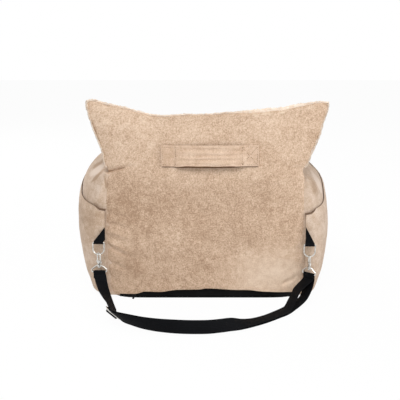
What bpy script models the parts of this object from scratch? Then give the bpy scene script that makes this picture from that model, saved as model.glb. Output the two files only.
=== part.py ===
"""A dog's car seat: a padded tub with a high back, a lift-out cushion and a clip-on shoulder strap.

Metres, +Z up. The dog looks along +Y, so the belt band, the strap and the zip are at -Y.
The origin is the middle of the underside. Left is -X.
"""
import math

import bmesh
import bpy
from mathutils import Matrix, Vector

# Driving sizes
SEAT_DEPTH = 0.480
SEAT_HEIGHT = 0.405
PANEL_WIDTH = 0.412
ARM_HEIGHT = 0.286
# How far an arm bulges out past the back panel's edge, and how far it comes in from it
ARM_BULGE = 0.069
ARM_INSIDE = 0.041
WEBBING_WIDTH = 0.025
WEBBING = 0.0015
CLOTH = 0.003
FIT = 0.0003
FILLING_EASE = 0.0008

# The tub
ARM_FOOT = 0.0034
BASE_CLOTH = 0.003
BASE_INSET = 0.008
BOARD = 0.005
BOARD_MARGIN = 0.004
FLOOR_FOAM = 0.013
FLOOR_LINING = 0.002
BACK_THICKNESS = 0.064
BACK_CROWN_LOW = 0.009
BACK_CROWN_HIGH = 0.015
BACK_LEAN = 0.012
BACK_TOP_SAG = 0.024
EDGE_MARGIN = 0.012
PLUSH = 0.008
PLUSH_CROWN = 0.007
HEM_HEIGHT = 0.006
HEM_RISE = 0.014
FRONT_HEIGHT = 0.222
FRONT_THICKNESS = 0.076
FRONT_PANEL_HEIGHT = 0.206
FRONT_PANEL_FOOT = 0.007
FRONT_CROWN = 0.010
POCKET_CLOTH = 0.003
POCKET_STAND = 0.0016
POCKET_FOOT = 0.008

# The cushion
CUSHION_SIDE_GAP = 0.004
CUSHION_BACK_GAP = 0.008
CUSHION_HEIGHT = 0.058
CUSHION_CROWN = 0.013
CUSHION_CORNER = 0.060
CUSHION_DRAW_IN = 0.006
CUSHION_CLOTH = 0.006
CUSHION_HEM = 0.045
CUSHION_BASE_CLOTH = 0.002

# The belt band, sewn flat at both ends
BAND_LENGTH = 0.197
BAND_WIDTH = 0.044
BAND_OFFSET = 0.008
BAND_CENTRE_HEIGHT = 0.299
BAND_CLOTH = 0.0022
BAND_STITCHED = 0.026
BAND_STAND = 0.0070

# The zip along the foot of the back
ZIP_END_MARGIN = 0.030
ZIP_TAPE = 0.0014
ZIP_TAPE_HEIGHT = 0.022
ZIP_TAPE_FOOT = 0.0004
CHAIN_WIDTH = 0.0034
CHAIN = 0.0010
CHAIN_HEIGHT = 0.0046
SLIDER_LENGTH = 0.0090
SLIDER_WIDTH = 0.0068
SLIDER_CHEEK = 0.0011
SLIDER_REST = -0.150
PULL_LENGTH = 0.014
PULL_WIDTH = 0.0042
PULL = 0.0011

# The rings, tabs and snap hooks
RING_OUT = 0.0105
HOOK_SHIFT = -0.0025
RING_BAR_HEIGHT = 0.1187
RING_BAR_SLANT = 0.0050
RING_STAND_OFF = 0.0160
RING_WIDTH = 0.0228
RING_DROP = 0.0252
RING_WIRE = 0.0014
TAB_WIDTH = 0.0190
TAB_TOP = 0.151
TAB_ROOT = 0.124
TAB_CLOTH = 0.0016
HOOK_WIRE = 0.0015
HOOK_EYE = 0.00525
HOOK_BLOCK_TOP = 0.0110
HOOK_BLOCK_HALF = 0.0066
HOOK_BLOCK_DEPTH = 0.0026
HOOK_NOSE = 0.0165
EYE_HEIGHT = 0.0210
GATE = 0.0018
GATE_PIVOT_OUT = 0.0050
GATE_PIVOT_UP = 0.0084
GATE_SLOT_SHARE = 0.42
GATE_PIN = 0.0007
GATE_PLAY = 0.0003
SWIVEL_RADIUS = 0.0016
SWIVEL_HEAD = 0.0027
COLLAR_RADIUS = 0.0042
COLLAR_HEIGHT = 0.0050
LOOP_WIRE = 0.0014
LOOP_DROP = 0.0140
LOOP_SHOULDER = 0.0085

# The strap and its adjuster
STRAP_DEPTH = 0.188
STRAP_OVERLAP = 0.015
LAYER_GAP = 0.0010
PARTING_OUT = -0.0165
PARTING_RISE = 0.0105
BAR = 0.0013
CROSS_BAR_SHARE = 0.92
BAR_SPACING = 0.0085
ADJUSTER_PLAY = 0.0008
ADJUSTER_TRAVEL = 0.008

# The outline of an arm across its length, from the inner foot over the top to the outer foot,
# as shares of its thickness and of its height
ARM_OUTLINE_SHARES = (
    (0.0, 0.0), (0.0, 0.2), (0.0, 0.4), (0.0, 0.6), (0.01, 0.77), (0.06, 0.88), (0.16, 0.955),
    (0.29, 0.993), (0.42, 1.0), (0.53, 0.985), (0.64, 0.95), (0.73, 0.90), (0.81, 0.835),
    (0.88, 0.77), (0.935, 0.71), (0.97, 0.65), (0.995, 0.57), (1.0, 0.47), (0.99, 0.355),
    (0.965, 0.26), (0.91, 0.15), (0.84, 0.065), (0.78, 0.0))
ARM_CREST_POINT = 8
# The height of an arm along the seat, from the rear to the front
ARM_CREST_SHARES = ((0.0, 0.90), (0.08, 0.93), (0.15, 0.965), (0.3, 1.0), (0.5, 0.985),
                    (0.7, 0.925), (0.87, 0.83), (1.0, 0.71))
# How far the corners of the plan are rounded
CORNER_SHARE = 0.8
ARM_ROWS = 14
POCKET_ROWS = 11
# The half width of the back panel at heights up the seat
PANEL_EDGE_SHARES = ((0.015, 0.955), (0.07, 0.985), (0.2, 1.0), (0.5, 1.0), (0.62, 0.985),
                     (0.66, 0.966), (0.70, 1.005), (0.755, 1.038), (0.80, 1.073), (0.85, 1.11),
                     (0.92, 1.152), (0.965, 1.172), (1.0, 1.178))
# How high the top of the outer pocket runs, from the rear seam to the front seam
POCKET_RIM_SHARES = ((0.0, 0.645), (0.02, 0.662), (0.06, 0.67), (0.14, 0.672), (0.24, 0.68),
                     (0.30, 0.76), (0.36, 0.84), (0.45, 0.88), (0.57, 0.875), (0.72, 0.83),
                     (0.87, 0.75), (1.0, 0.655))
# Rows up the back, and where the back steps out over the arms
BACK_ROWS_SHARES = (0.0, 0.05, 0.15, 0.3, 0.45, 0.58, 0.646, 0.668, 0.70, 0.75, 0.81, 0.87,
                    0.92, 0.96, 0.985, 1.0)
BACK_STEP_SHARE = 0.657
BACK_COLUMNS = 16
# The middle of the strap's outer layer: out from the middle, back from the rings, up from the
# floor, as shares of half the hook spacing, the strap's depth and the ring's bar height, and
# the way from its lower edge to its upper edge
STRAP_ROUTE_SHARES = (
    (-1.002, 0.015, 0.442, (-1, 0, 0)),
    (-0.989, 0.060, 0.358, (-0.985, -0.12, 0.12)),
    (-0.967, 0.129, 0.286, (-0.95, -0.22, 0.22)),
    (-0.935, 0.225, 0.223, (-0.88, -0.3, 0.36)),
    (-0.891, 0.363, 0.181, (-0.79, -0.28, 0.54)),
    (-0.850, 0.491, 0.158, (-0.72, -0.2, 0.67)),
    (-0.813, 0.632, 0.143, (-0.7, -0.14, 0.7)),
    (-0.776, 0.752, 0.142, (-0.68, -0.14, 0.72)),
    (-0.736, 0.806, 0.143, (-0.55, -0.2, 0.81)),
    (-0.679, 0.850, 0.142, (-0.37, -0.28, 0.88)),
    (-0.540, 0.922, 0.126, (-0.15, -0.2, 0.96)),
    (-0.379, 0.970, 0.116, (-0.05, -0.02, 0.99)),
    (-0.185, 0.996, 0.113, (0, 0.25, 0.96)),
    (0.000, 0.996, 0.113, (0, 0.3, 0.95)),
    (0.115, 0.964, 0.113, (-0.03, 0.42, 0.9)),
    (0.215, 0.916, 0.109, (-0.05, 0.65, 0.76)),
    (0.309, 0.851, 0.078, (-0.1, 0.9, 0.38)),
    (0.409, 0.768, 0.057, (-0.2, 0.96, 0.15)),
    (0.521, 0.670, 0.051, (-0.22, 0.97, 0.09)),
    (0.632, 0.561, 0.058, (-0.27, 0.96, 0.10)),
    (0.727, 0.461, 0.067, (-0.36, 0.92, 0.12)),
    (0.806, 0.349, 0.079, (-0.4, 0.91, 0.1)),
    (0.877, 0.246, 0.096, (-0.38, 0.92, 0.06)),
    (0.921, 0.164, 0.114, (-0.45, 0.89, 0)),
    (0.952, 0.100, 0.177, (-0.56, 0.82, -0.05)),
    (0.975, 0.044, 0.278, (-0.65, 0.75, -0.04)),
    (0.982, 0.012, 0.379, (-0.74, 0.67, 0)))
ADJUSTER_POINT = 6
PARTING_POINT = 20
PARTING_POWER = 1.2
ROUTE_STEPS = 6

LEFT_TURN = math.radians(-50)
RIGHT_TURN = math.radians(-85)
LEFT_LOOP_TURN = math.radians(0)
RIGHT_LOOP_TURN = math.radians(-42)

# Worked out from the sizes above
CAVITY_WIDTH = PANEL_WIDTH - 2 * ARM_INSIDE
ARM_BULGE_WIDTH = PANEL_WIDTH + 2 * ARM_BULGE
HOOK_SPACING = PANEL_WIDTH + 2 * RING_OUT
ZIP_LENGTH = PANEL_WIDTH - 2 * ZIP_END_MARGIN
SEAM_Y = SEAT_DEPTH / 2 - CLOTH - FIT
ARM_THICKNESS = (ARM_BULGE_WIDTH - CAVITY_WIDTH) / 2 - POCKET_STAND - POCKET_CLOTH
BACK_FRONT_Y = -SEAM_Y + BACK_THICKNESS
FRONT_INNER_Y = SEAM_Y - FRONT_THICKNESS
BOARD_FOOT = BASE_CLOTH + FIT
FOAM_FOOT = BOARD_FOOT + BOARD + FIT
LINING_FOOT = FOAM_FOOT + FLOOR_FOAM + FIT
CUSHION_FOOT = LINING_FOOT + FLOOR_LINING + FIT
RING_Y = -SEAM_Y - RING_STAND_OFF
RING_TILT = math.atan2(RING_BAR_SLANT, HOOK_SPACING)
# The top of the hook's eye rests on the foot of the ring
SWIVEL_DROP = RING_DROP - RING_WIRE - FIT - HOOK_WIRE + HOOK_EYE + EYE_HEIGHT
FOLD_RADIUS = LOOP_WIRE + FIT + WEBBING / 2
LAYER_STEP = WEBBING + ADJUSTER_PLAY
ROUND_SIDES = 12
WIRE_SIDES = 8


def clear_scene():
    for item in list(bpy.data.objects):
        bpy.data.objects.remove(item, do_unlink=True)


def material(name, colour, roughness, metallic=0.0):
    made = bpy.data.materials.get(name)
    if made is None:
        made = bpy.data.materials.new(name)
        made.use_nodes = True
        shader = made.node_tree.nodes["Principled BSDF"]
        shader.inputs["Base Color"].default_value = (*colour, 1.0)
        shader.inputs["Roughness"].default_value = roughness
        shader.inputs["Metallic"].default_value = metallic
    return made


def speckled():
    return material("speckled_suede", (0.63, 0.47, 0.33), 0.9)


def suede():
    return material("suede", (0.60, 0.48, 0.37), 0.85)


def plush():
    return material("plush", (0.82, 0.74, 0.63), 0.95)


def black_cloth():
    return material("black_cloth", (0.012, 0.012, 0.012), 0.8)


def webbing():
    return material("webbing", (0.010, 0.010, 0.011), 0.6)


def nickel():
    return material("nickel", (0.72, 0.70, 0.67), 0.22, 1.0)


def foam():
    return material("foam", (0.80, 0.78, 0.70), 0.95)


def board():
    return material("board", (0.25, 0.24, 0.22), 0.7)


def add(name, verts, faces, look, crease=40):
    """One closed mesh with its faces pointing out."""
    mesh = bpy.data.meshes.new(name)
    mesh.from_pydata([tuple(v) for v in verts], [], faces)
    work = bmesh.new()
    work.from_mesh(mesh)
    bmesh.ops.recalc_face_normals(work, faces=work.faces)
    work.to_mesh(mesh)
    work.free()
    mesh.shade_smooth()
    mesh.set_sharp_from_angle(angle=math.radians(crease))
    mesh.materials.append(look)
    item = bpy.data.objects.new(name, mesh)
    bpy.context.scene.collection.objects.link(item)
    return item


def axis_empty(name, place):
    """An empty on a joint's axis, which the moving pieces hang from."""
    item = bpy.data.objects.new(name, None)
    item.location = place
    item.empty_display_size = WEBBING_WIDTH
    bpy.context.scene.collection.objects.link(item)
    return item


def hang(item, holder):
    """Parents a piece to an empty and leaves it where it is."""
    item.data.transform(Matrix.Translation(-holder.location))
    item.parent = holder


def combine(item, other, operation):
    """A Boolean with a helper that isn't part of the seat."""
    other.hide_render = True
    other.display_type = "WIRE"
    step = item.modifiers.new(other.name, "BOOLEAN")
    step.operation = operation
    step.object = other


def table(pairs, place):
    """Reads a table of (place, value) pairs, straight between its entries."""
    for (x0, y0), (x1, y1) in zip(pairs, pairs[1:]):
        if place <= x1:
            return y0 + (y1 - y0) * max(0.0, place - x0) / (x1 - x0)
    return pairs[-1][1]


def grid_faces(rows, columns, start=0, closed=False):
    """Triangles over a grid of points listed row by row, all quads split the same way."""
    faces = []
    for i in range(rows - 1):
        for j in range(columns if closed else columns - 1):
            k = (j + 1) % columns
            a, b = start + i * columns, start + (i + 1) * columns
            faces += [(a + j, a + k, b + k), (a + j, b + k, b + j)]
    return faces


def plate(name, outer, inner, look):
    """A sheet between two grids of points."""
    rows, columns = len(outer), len(outer[0])
    verts = [p for row in outer for p in row] + [p for row in inner for p in row]
    shift = rows * columns
    faces = grid_faces(rows, columns) + grid_faces(rows, columns, shift)
    rim = [j for j in range(columns)]
    rim += [i * columns + columns - 1 for i in range(1, rows)]
    rim += [(rows - 1) * columns + j for j in range(columns - 2, -1, -1)]
    rim += [i * columns for i in range(rows - 2, 0, -1)]
    for a, b in zip(rim, rim[1:] + rim[:1]):
        faces.append((a, b, b + shift, a + shift))
    return add(name, verts, faces, look)


def loft(name, rings, look, crease=40):
    """A closed body through rings of points, with flat ends."""
    size = len(rings[0])
    faces = grid_faces(len(rings), size, closed=True)
    faces.append(tuple(range(size)))
    last = (len(rings) - 1) * size
    faces.append(tuple(range(last + size - 1, last - 1, -1)))
    return add(name, [p for ring in rings for p in ring], faces, look, crease)


def tube(name, path, radius, look, plane, closed=False, sides=WIRE_SIDES):
    """Round wire along a path that lies in a plane with the given normal."""
    count = len(path)
    verts = []
    for k, point in enumerate(path):
        if closed:
            along = path[(k + 1) % count] - path[k - 1]
        else:
            along = path[min(k + 1, count - 1)] - path[max(k - 1, 0)]
        across = along.normalized().cross(plane)
        for s in range(sides):
            turn = 2 * math.pi * (s + 0.5) / sides
            verts.append(point + radius * (math.cos(turn) * plane + math.sin(turn) * across))
    faces = grid_faces(count, sides, closed=True)
    if closed:
        last = (count - 1) * sides
        for s in range(sides):
            e = (s + 1) % sides
            faces.append((last + s, last + e, e, s))
    else:
        faces.append(tuple(range(sides)))
        faces.append(tuple(range(count * sides - 1, (count - 1) * sides - 1, -1)))
    return add(name, verts, faces, look, 60)


def turned(name, profile, look, sides=ROUND_SIDES):
    """A closed turned body from (radius, height) pairs, about the local Z axis."""
    rings = []
    for radius, height in profile:
        rings.append([Vector((radius * math.cos(2 * math.pi * s / sides),
                              radius * math.sin(2 * math.pi * s / sides), height))
                      for s in range(sides)])
    return loft(name, rings, look)


def ribbon(name, stations, look, width=WEBBING_WIDTH, thickness=WEBBING):
    """Flat webbing through (centre, way across it) stations."""
    rings = []
    for k, (centre, across) in enumerate(stations):
        along = stations[min(k + 1, len(stations) - 1)][0] - stations[max(k - 1, 0)][0]
        across = across.normalized()
        normal = along.cross(across).normalized() * thickness / 2
        half = across * width / 2
        rings.append([centre - half - normal, centre + half - normal,
                      centre + half + normal, centre - half + normal])
    return loft(name, rings, look)


def extrude_outline(name, outline, depth, look):
    """A plate in the local XZ plane, spread evenly to both sides of it."""
    front = [Vector((x, -depth / 2, z)) for x, z in outline]
    back = [Vector((x, depth / 2, z)) for x, z in outline]
    return loft(name, [front, back], look)


def arc(centre, radius, start, end, steps):
    """Points (x, z) on an arc, angles in degrees."""
    made = []
    for k in range(steps + 1):
        turn = math.radians(start + (end - start) * k / steps)
        made.append((centre[0] + radius * math.cos(turn), centre[1] + radius * math.sin(turn)))
    return made


# The plan of the tub

def half_panel(height):
    """Half the width of the back panel at a height: its side seams and its ears."""
    return PANEL_WIDTH / 2 * table(PANEL_EDGE_SHARES, height / SEAT_HEIGHT)


def plan(angle):
    """Place along the seat, and how much of the bulge there is, round one side of the plan."""
    y = SEAM_Y * math.copysign(abs(math.sin(angle)) ** CORNER_SHARE, math.sin(angle))
    return y, max(0.0, math.cos(angle)) ** CORNER_SHARE


def arm_crest(y):
    return ARM_HEIGHT * table(ARM_CREST_SHARES, (y + SEAM_Y) / (2 * SEAM_Y))


def arm_point(angle, share, inset=0.0):
    """A point on the right arm, for a place round the plan and a point of the outline."""
    y, bulge = plan(angle)
    height = ARM_FOOT + share[1] * (arm_crest(y) - inset - ARM_FOOT)
    x = CAVITY_WIDTH / 2 + inset + share[0] * (ARM_THICKNESS - 2 * inset)
    seam = half_panel(height) - inset
    if x > seam:
        x = seam + (x - seam) * bulge
    return Vector((x, y * (1 - inset / SEAM_Y), height))


def arm_angles():
    return [math.radians(-90 + 180 * k / ARM_ROWS) for k in range(ARM_ROWS + 1)]


def mirrored(grid, side):
    return [[Vector((side * p.x, p.y, p.z)) for p in row] for row in grid]


def make_arm(name, side):
    """A bolster of one side: its cover, open underneath, and its filling."""
    def skin(inset):
        return mirrored([[arm_point(a, s, inset) for s in ARM_OUTLINE_SHARES]
                         for a in arm_angles()], side)

    plate("arm_cover_" + name, skin(0.0), skin(CLOTH), suede())
    loft("arm_filling_" + name, skin(CLOTH + FILLING_EASE), foam())


def outer_share(height_share):
    """The outline's distance out, on its outer side, at a share of the height."""
    outer = [(b, a) for a, b in reversed(ARM_OUTLINE_SHARES[ARM_CREST_POINT:])]
    return table(outer, height_share)


def make_pocket(name, side):
    """The flat outer pocket that wraps an arm, from the rear seam to the front seam."""
    def sheet(away):
        made = []
        for angle in arm_angles():
            y = plan(angle)[0]
            rim = ARM_HEIGHT * table(POCKET_RIM_SHARES, (y + SEAM_Y) / (2 * SEAM_Y))
            line = []
            for k in range(POCKET_ROWS + 1):
                height = rim + (POCKET_FOOT - rim) * k / POCKET_ROWS
                share = (height - ARM_FOOT) / (arm_crest(y) - ARM_FOOT)
                point = arm_point(angle, (outer_share(share), share), -away)
                point.x = max(point.x, half_panel(point.z) + FIT)
                line.append(point)
            made.append(line)
        for row in (made[0], made[-1]):
            for point in row:
                point.x = half_panel(point.z) + FIT
        return mirrored(made, side)

    plate("side_pocket_" + name, sheet(POCKET_STAND + POCKET_CLOTH), sheet(POCKET_STAND), suede())


# The back

def back_top(across):
    """The height of the back's top edge at a share of its half width."""
    return SEAT_HEIGHT - BACK_TOP_SAG * (1 - abs(across) ** 1.7)


def back_foot(across):
    return HEM_HEIGHT + HEM_RISE * (1 - across * across)


def back_crown(across, up):
    """How far the back panel stands out behind its side seams."""
    rise = min(1.0, max(0.0, (up - 0.45) / 0.17))
    crown = BACK_CROWN_LOW + (BACK_CROWN_HIGH - BACK_CROWN_LOW) * rise
    if up > 0.86:
        crown *= max(0.0, 1 - ((up - 0.86) / 0.14) ** 2)
    return crown * (1 - across ** 4)


def back_lean(up):
    return BACK_LEAN * max(0.0, (up - BACK_STEP_SHARE) / (1 - BACK_STEP_SHARE))


def back_point(across, up):
    """The outer face of the rear cover."""
    height = back_foot(across) + up * (back_top(across) - back_foot(across))
    edge = HEM_HEIGHT + up * (SEAT_HEIGHT - HEM_HEIGHT)
    y = -SEAM_Y - FIT - CLOTH - back_crown(across, up) + back_lean(up)
    return Vector((across * half_panel(edge), y, height))


def front_face_point(across, up):
    """The face that the dog leans on: between the arms below, out to the ears above."""
    rear = back_point(across, up)
    if up < BACK_STEP_SHARE:
        x = across * (CAVITY_WIDTH / 2 - FIT)
        y = BACK_FRONT_Y - PLUSH_CROWN * across * across
        return Vector((x, y, max(rear.z, CUSHION_FOOT)))
    swell = max(0.0, 1 - abs(across) ** 2.4)
    if up > 0.75:
        swell *= max(0.0, 1 - ((up - 0.75) / 0.25) ** 2) ** 0.5
    seam = -SEAM_Y + back_lean(up) + PLUSH
    y = seam + (BACK_FRONT_Y - seam) * swell
    return Vector((rear.x, y, rear.z))


def across_shares():
    """Columns across the back, closer together near its edges."""
    return [math.sin(math.pi * (k / BACK_COLUMNS - 0.5)) for k in range(BACK_COLUMNS + 1)]


def make_rear_cover():
    outer = [[back_point(a, u) for a in across_shares()] for u in BACK_ROWS_SHARES]
    inner = [[p + Vector((0, CLOTH, 0)) for p in row] for row in outer]
    plate("rear_cover", outer, inner, speckled())


def make_back_plush():
    """The plush face of the back, sewn to the rear cover round its upper edge."""
    face = [[front_face_point(a, u) for a in across_shares()] for u in BACK_ROWS_SHARES[1:]]
    inner = []
    for u, row in zip(BACK_ROWS_SHARES[1:], face):
        line = []
        for a, p in zip(across_shares(), row):
            line.append(p - Vector((0, PLUSH, 0)))
        inner.append(line)
    plate("back_plush", face, inner, plush())


def make_back_filling():
    """The stuffing between the rear cover and the plush."""
    rears, fronts = [], []
    for up in BACK_ROWS_SHARES[:-1]:
        rear_line, front_line = [], []
        for across in across_shares():
            if up < BACK_STEP_SHARE:
                front = front_face_point(across, up)
                rear = back_point(front.x / back_point(1, up).x, up)
            else:
                share = across * (1 - EDGE_MARGIN / back_point(1, up).x)
                front, rear = front_face_point(share, up), back_point(share, up)
            rear_y = rear.y + CLOTH + FILLING_EASE
            if up < BACK_ROWS_SHARES[2]:
                rear_y = -SEAM_Y + FIT
            rear_line.append(Vector((front.x, rear_y, rear.z + ZIP_TAPE_FOOT)))
            front_y = max(front.y - PLUSH - 3 * FILLING_EASE, rear_y + FIT)
            front_line.append(Vector((front.x, front_y, rear.z + ZIP_TAPE_FOOT)))
        rears.append(rear_line)
        fronts.append(front_line)
    plate("back_filling", rears, fronts, foam())


# The front

def front_path(lift):
    """The bolster's outline from its outer foot over the top to its inner foot: (y, z)."""
    half = FRONT_THICKNESS / 2
    centre = SEAM_Y - half
    straight = FRONT_HEIGHT - half
    path = [(SEAM_Y - lift, ARM_FOOT), (SEAM_Y - lift, straight / 2)]
    path += arc((centre, straight), half - lift, 0, 180, 8)
    path += [(FRONT_INNER_Y + lift, straight / 2), (FRONT_INNER_Y + lift, CUSHION_FOOT)]
    return path


def make_front():
    """The low bolster at the front, its filling and the panel before it."""
    half = CAVITY_WIDTH / 2 - FIT
    columns = 6

    def sheet(lift):
        return [[Vector((half * (2 * k / columns - 1), y, z)) for y, z in front_path(lift)]
                for k in range(columns + 1)]

    plate("front_cover", sheet(0.0), sheet(CLOTH), suede())
    loft("front_filling", sheet(CLOTH + FIT), foam())
    outer, inner = [], []
    for k in range(BACK_COLUMNS // 2 + 1):
        across = math.sin(math.pi * (2 * k / BACK_COLUMNS - 0.5))
        line = []
        for m in range(7):
            up = m / 6
            height = FRONT_PANEL_FOOT + (FRONT_PANEL_HEIGHT - FRONT_PANEL_FOOT) * up
            crown = FRONT_CROWN * (1 - across ** 4) * (1 - (2 * up - 1) ** 4)
            line.append(Vector((across * half_panel(height), SEAM_Y + FIT + crown, height)))
        inner.append(line)
        outer.append([p + Vector((0, CLOTH, 0)) for p in line])
    plate("front_panel", outer, inner, suede())


# The floor

def floor_outline(margin, height):
    """The plan of the tub at floor level, drawn in by a margin."""
    right = []
    for angle in arm_angles():
        y, bulge = plan(angle)
        seam = half_panel(0.0)
        x = seam + (CAVITY_WIDTH / 2 + ARM_OUTLINE_SHARES[-1][0] * ARM_THICKNESS - seam) * bulge
        right.append(Vector((x - margin, y * (1 - margin / SEAM_Y), height)))
    left = [Vector((-p.x, p.y, p.z)) for p in reversed(right)]
    return right + left


def inner_rectangle(height, margin):
    """The plan between the arms, the back and the front."""
    x = CAVITY_WIDTH / 2 - FIT - margin
    y0, y1 = BACK_FRONT_Y + FIT + margin, FRONT_INNER_Y - FIT - margin
    return [Vector(p + (height,)) for p in ((x, y0), (x, y1), (-x, y1), (-x, y0))]


def make_floor():
    loft("base_cover", [floor_outline(BASE_INSET, h) for h in (0.0, BASE_CLOTH)], black_cloth())
    layers = (("base_board", BOARD_FOOT, BOARD, BOARD_MARGIN, board()),
              ("floor_foam", FOAM_FOOT, FLOOR_FOAM, BOARD_MARGIN / 2, foam()),
              ("floor_lining", LINING_FOOT, FLOOR_LINING, 0.0, suede()))
    for name, foot, thickness, margin, look in layers:
        loft(name, [inner_rectangle(h, margin) for h in (foot, foot + thickness)], look)


# The cushion

def cushion_ring(share, height, margin=0.0, steps=6):
    """A rounded square with sides that pull in between its corners."""
    x = (CAVITY_WIDTH / 2 - CUSHION_SIDE_GAP - margin) * share
    y0 = BACK_FRONT_Y + CUSHION_BACK_GAP + margin
    y1 = FRONT_INNER_Y - CUSHION_SIDE_GAP - margin
    middle, half = (y0 + y1) / 2, (y1 - y0) / 2 * share
    corner = CUSHION_CORNER * share
    made = []
    for sx, sy, start in ((1, -1, -90), (1, 1, 0), (-1, 1, 90), (-1, -1, 180)):
        for px, py in arc((0, 0), corner, start, start + 90, steps):
            made.append(Vector((sx * (x - corner) + px, sy * (half - corner) + py, height)))
    drawn = []
    for p in made:
        flat = max(abs(p.x) / x, abs(p.y) / half)
        pull = CUSHION_DRAW_IN * share * (1 - min(abs(p.x) / x, abs(p.y) / half) ** 2)
        shrink = 1 - pull / max(x, half) if flat > 0.99 else 1
        drawn.append(Vector((p.x * shrink, p.y * shrink + middle, height)))
    return drawn


def make_cushion():
    """The lift-out cushion: a plush cover, the cloth under it and the foam inside."""
    holder = axis_empty("cushion_slide", (0, (BACK_FRONT_Y + FRONT_INNER_Y) / 2, CUSHION_FOOT))
    top = CUSHION_FOOT + CUSHION_HEIGHT
    low = CUSHION_FOOT + CUSHION_BASE_CLOTH + FIT
    crown = ((0.15, 1.0), (0.4, 0.93), (0.65, 0.72), (0.84, 0.40), (0.95, 0.08), (1.0, -0.6))
    hem_share = 1 - CUSHION_HEM / (CAVITY_WIDTH / 2)

    def rings(margin):
        made = [cushion_ring(s, top - margin + CUSHION_CROWN * c, margin * s) for s, c in crown]
        made.append(cushion_ring(1.0, (low + top) / 2, margin))
        made.append(cushion_ring(0.97, low + CUSHION_CLOTH, margin))
        return made

    outer = rings(0.0)
    outer.append(cushion_ring(0.94, low))
    outer.append(cushion_ring(hem_share, low))
    inner = rings(CUSHION_CLOTH)
    inner[-1] = cushion_ring(0.93, low + CUSHION_CLOTH, CUSHION_CLOTH)
    inner.append(cushion_ring(0.90, low + CUSHION_BASE_CLOTH, CUSHION_CLOTH))
    inner.append(cushion_ring(hem_share, low + CUSHION_BASE_CLOTH))
    size = len(outer[0])
    count = len(outer)
    shift = size * count
    faces = grid_faces(count, size, closed=True) + grid_faces(count, size, shift, closed=True)
    faces.append(tuple(range(size)))
    faces.append(tuple(range(shift, shift + size)))
    last = (count - 1) * size
    for j in range(size):
        k = (j + 1) % size
        faces.append((last + j, last + k, last + shift + k, last + shift + j))
    verts = [p for ring in outer + inner for p in ring]
    cover = add("cushion_cover", verts, faces, plush())
    under = loft("cushion_base",
                 [cushion_ring(0.95, h) for h in (CUSHION_FOOT, CUSHION_FOOT + CUSHION_BASE_CLOTH)],
                 black_cloth())
    core_rings = [cushion_ring(s, top - CUSHION_CLOTH - FIT + CUSHION_CROWN * c,
                               (CUSHION_CLOTH + FIT) * s) for s, c in crown]
    core_rings.append(cushion_ring(1.0, (low + top) / 2, CUSHION_CLOTH + FIT))
    core_rings.append(cushion_ring(0.88, low + CUSHION_CLOTH + FIT, CUSHION_CLOTH + FIT))
    core = loft("cushion_foam", core_rings, foam())
    for item in (cover, under, core):
        hang(item, holder)


# The belt band

def make_band():
    """A cloth band, sewn down at both ends, for a car's belt to pass behind."""
    columns, rows = 16, 4
    half = BAND_LENGTH / 2
    outer, inner = [], []
    for m in range(rows + 1):
        height = BAND_CENTRE_HEIGHT + BAND_WIDTH * (m / rows - 0.5)
        line = []
        for k in range(columns + 1):
            x = half * math.sin(math.pi * (k / columns - 0.5))
            loose = max(0.0, 1 - (x / (half - BAND_STITCHED)) ** 2) ** 0.5
            across = (x + BAND_OFFSET) / half_panel(height)
            up = (height - back_foot(across)) / (back_top(across) - back_foot(across))
            rear = back_point(across, up).y
            line.append(Vector((x + BAND_OFFSET, rear - FIT * 2 - BAND_STAND * loose, height)))
        inner.append(line)
        outer.append([p - Vector((0, BAND_CLOTH, 0)) for p in line])
    plate("belt_band", outer, inner, suede())


# The zip

def box(name, low, high, look):
    x0, y0, z0 = low
    x1, y1, z1 = high
    rings = [[Vector((x, y, z)) for x, y in ((x0, y0), (x1, y0), (x1, y1), (x0, y1))]
             for z in (z0, z1)]
    return loft(name, rings, look)


def make_zip():
    """The zip that closes the back: tape and teeth that stay, a slider and its pull."""
    half = ZIP_LENGTH / 2
    tape_y = -SEAM_Y - FIT
    face = tape_y - ZIP_TAPE
    box("zip_tape", (-half, face, ZIP_TAPE_FOOT), (half, tape_y, ZIP_TAPE_HEIGHT), black_cloth())
    chain_y = face - FIT
    box("zip_chain", (-half, chain_y - CHAIN, CHAIN_HEIGHT - CHAIN_WIDTH / 2),
        (half, chain_y, CHAIN_HEIGHT + CHAIN_WIDTH / 2), webbing())
    holder = axis_empty("zip_slide", (SLIDER_REST, chain_y, CHAIN_HEIGHT))
    low = (SLIDER_REST - SLIDER_LENGTH / 2, chain_y - CHAIN - FIT - SLIDER_CHEEK,
           CHAIN_HEIGHT - SLIDER_WIDTH / 2)
    high = (SLIDER_REST + SLIDER_LENGTH / 2, face - FIT, CHAIN_HEIGHT + SLIDER_WIDTH / 2)
    slider = box("zip_slider", low, high, black_cloth())
    groove = box("zip_groove", (low[0] - SLIDER_LENGTH, chain_y - CHAIN - FIT,
                                CHAIN_HEIGHT - CHAIN_WIDTH / 2 - FIT),
                 (high[0] + SLIDER_LENGTH, high[1] + SLIDER_LENGTH,
                  CHAIN_HEIGHT + CHAIN_WIDTH / 2 + FIT), black_cloth())
    combine(slider, groove, "DIFFERENCE")
    hang(slider, holder)
    pin_y = low[1] - FIT - PULL
    pin_z = ZIP_TAPE_FOOT + PULL
    turn = axis_empty("zip_pull_hinge", (SLIDER_REST, pin_y, pin_z))
    side = PULL_WIDTH / 2
    outline = arc((SLIDER_REST, pin_y - PULL_LENGTH + side), side, 180, 360, 6)
    outline += [(SLIDER_REST + side, pin_y + PULL / 2), (SLIDER_REST - side, pin_y + PULL / 2)]
    rings = [[Vector((x, y, z)) for x, y in outline] for z in (pin_z - PULL / 2, pin_z + PULL / 2)]
    pull = loft("zip_pull", rings, black_cloth())
    hang(pull, turn)


# The rings and their tabs

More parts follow.
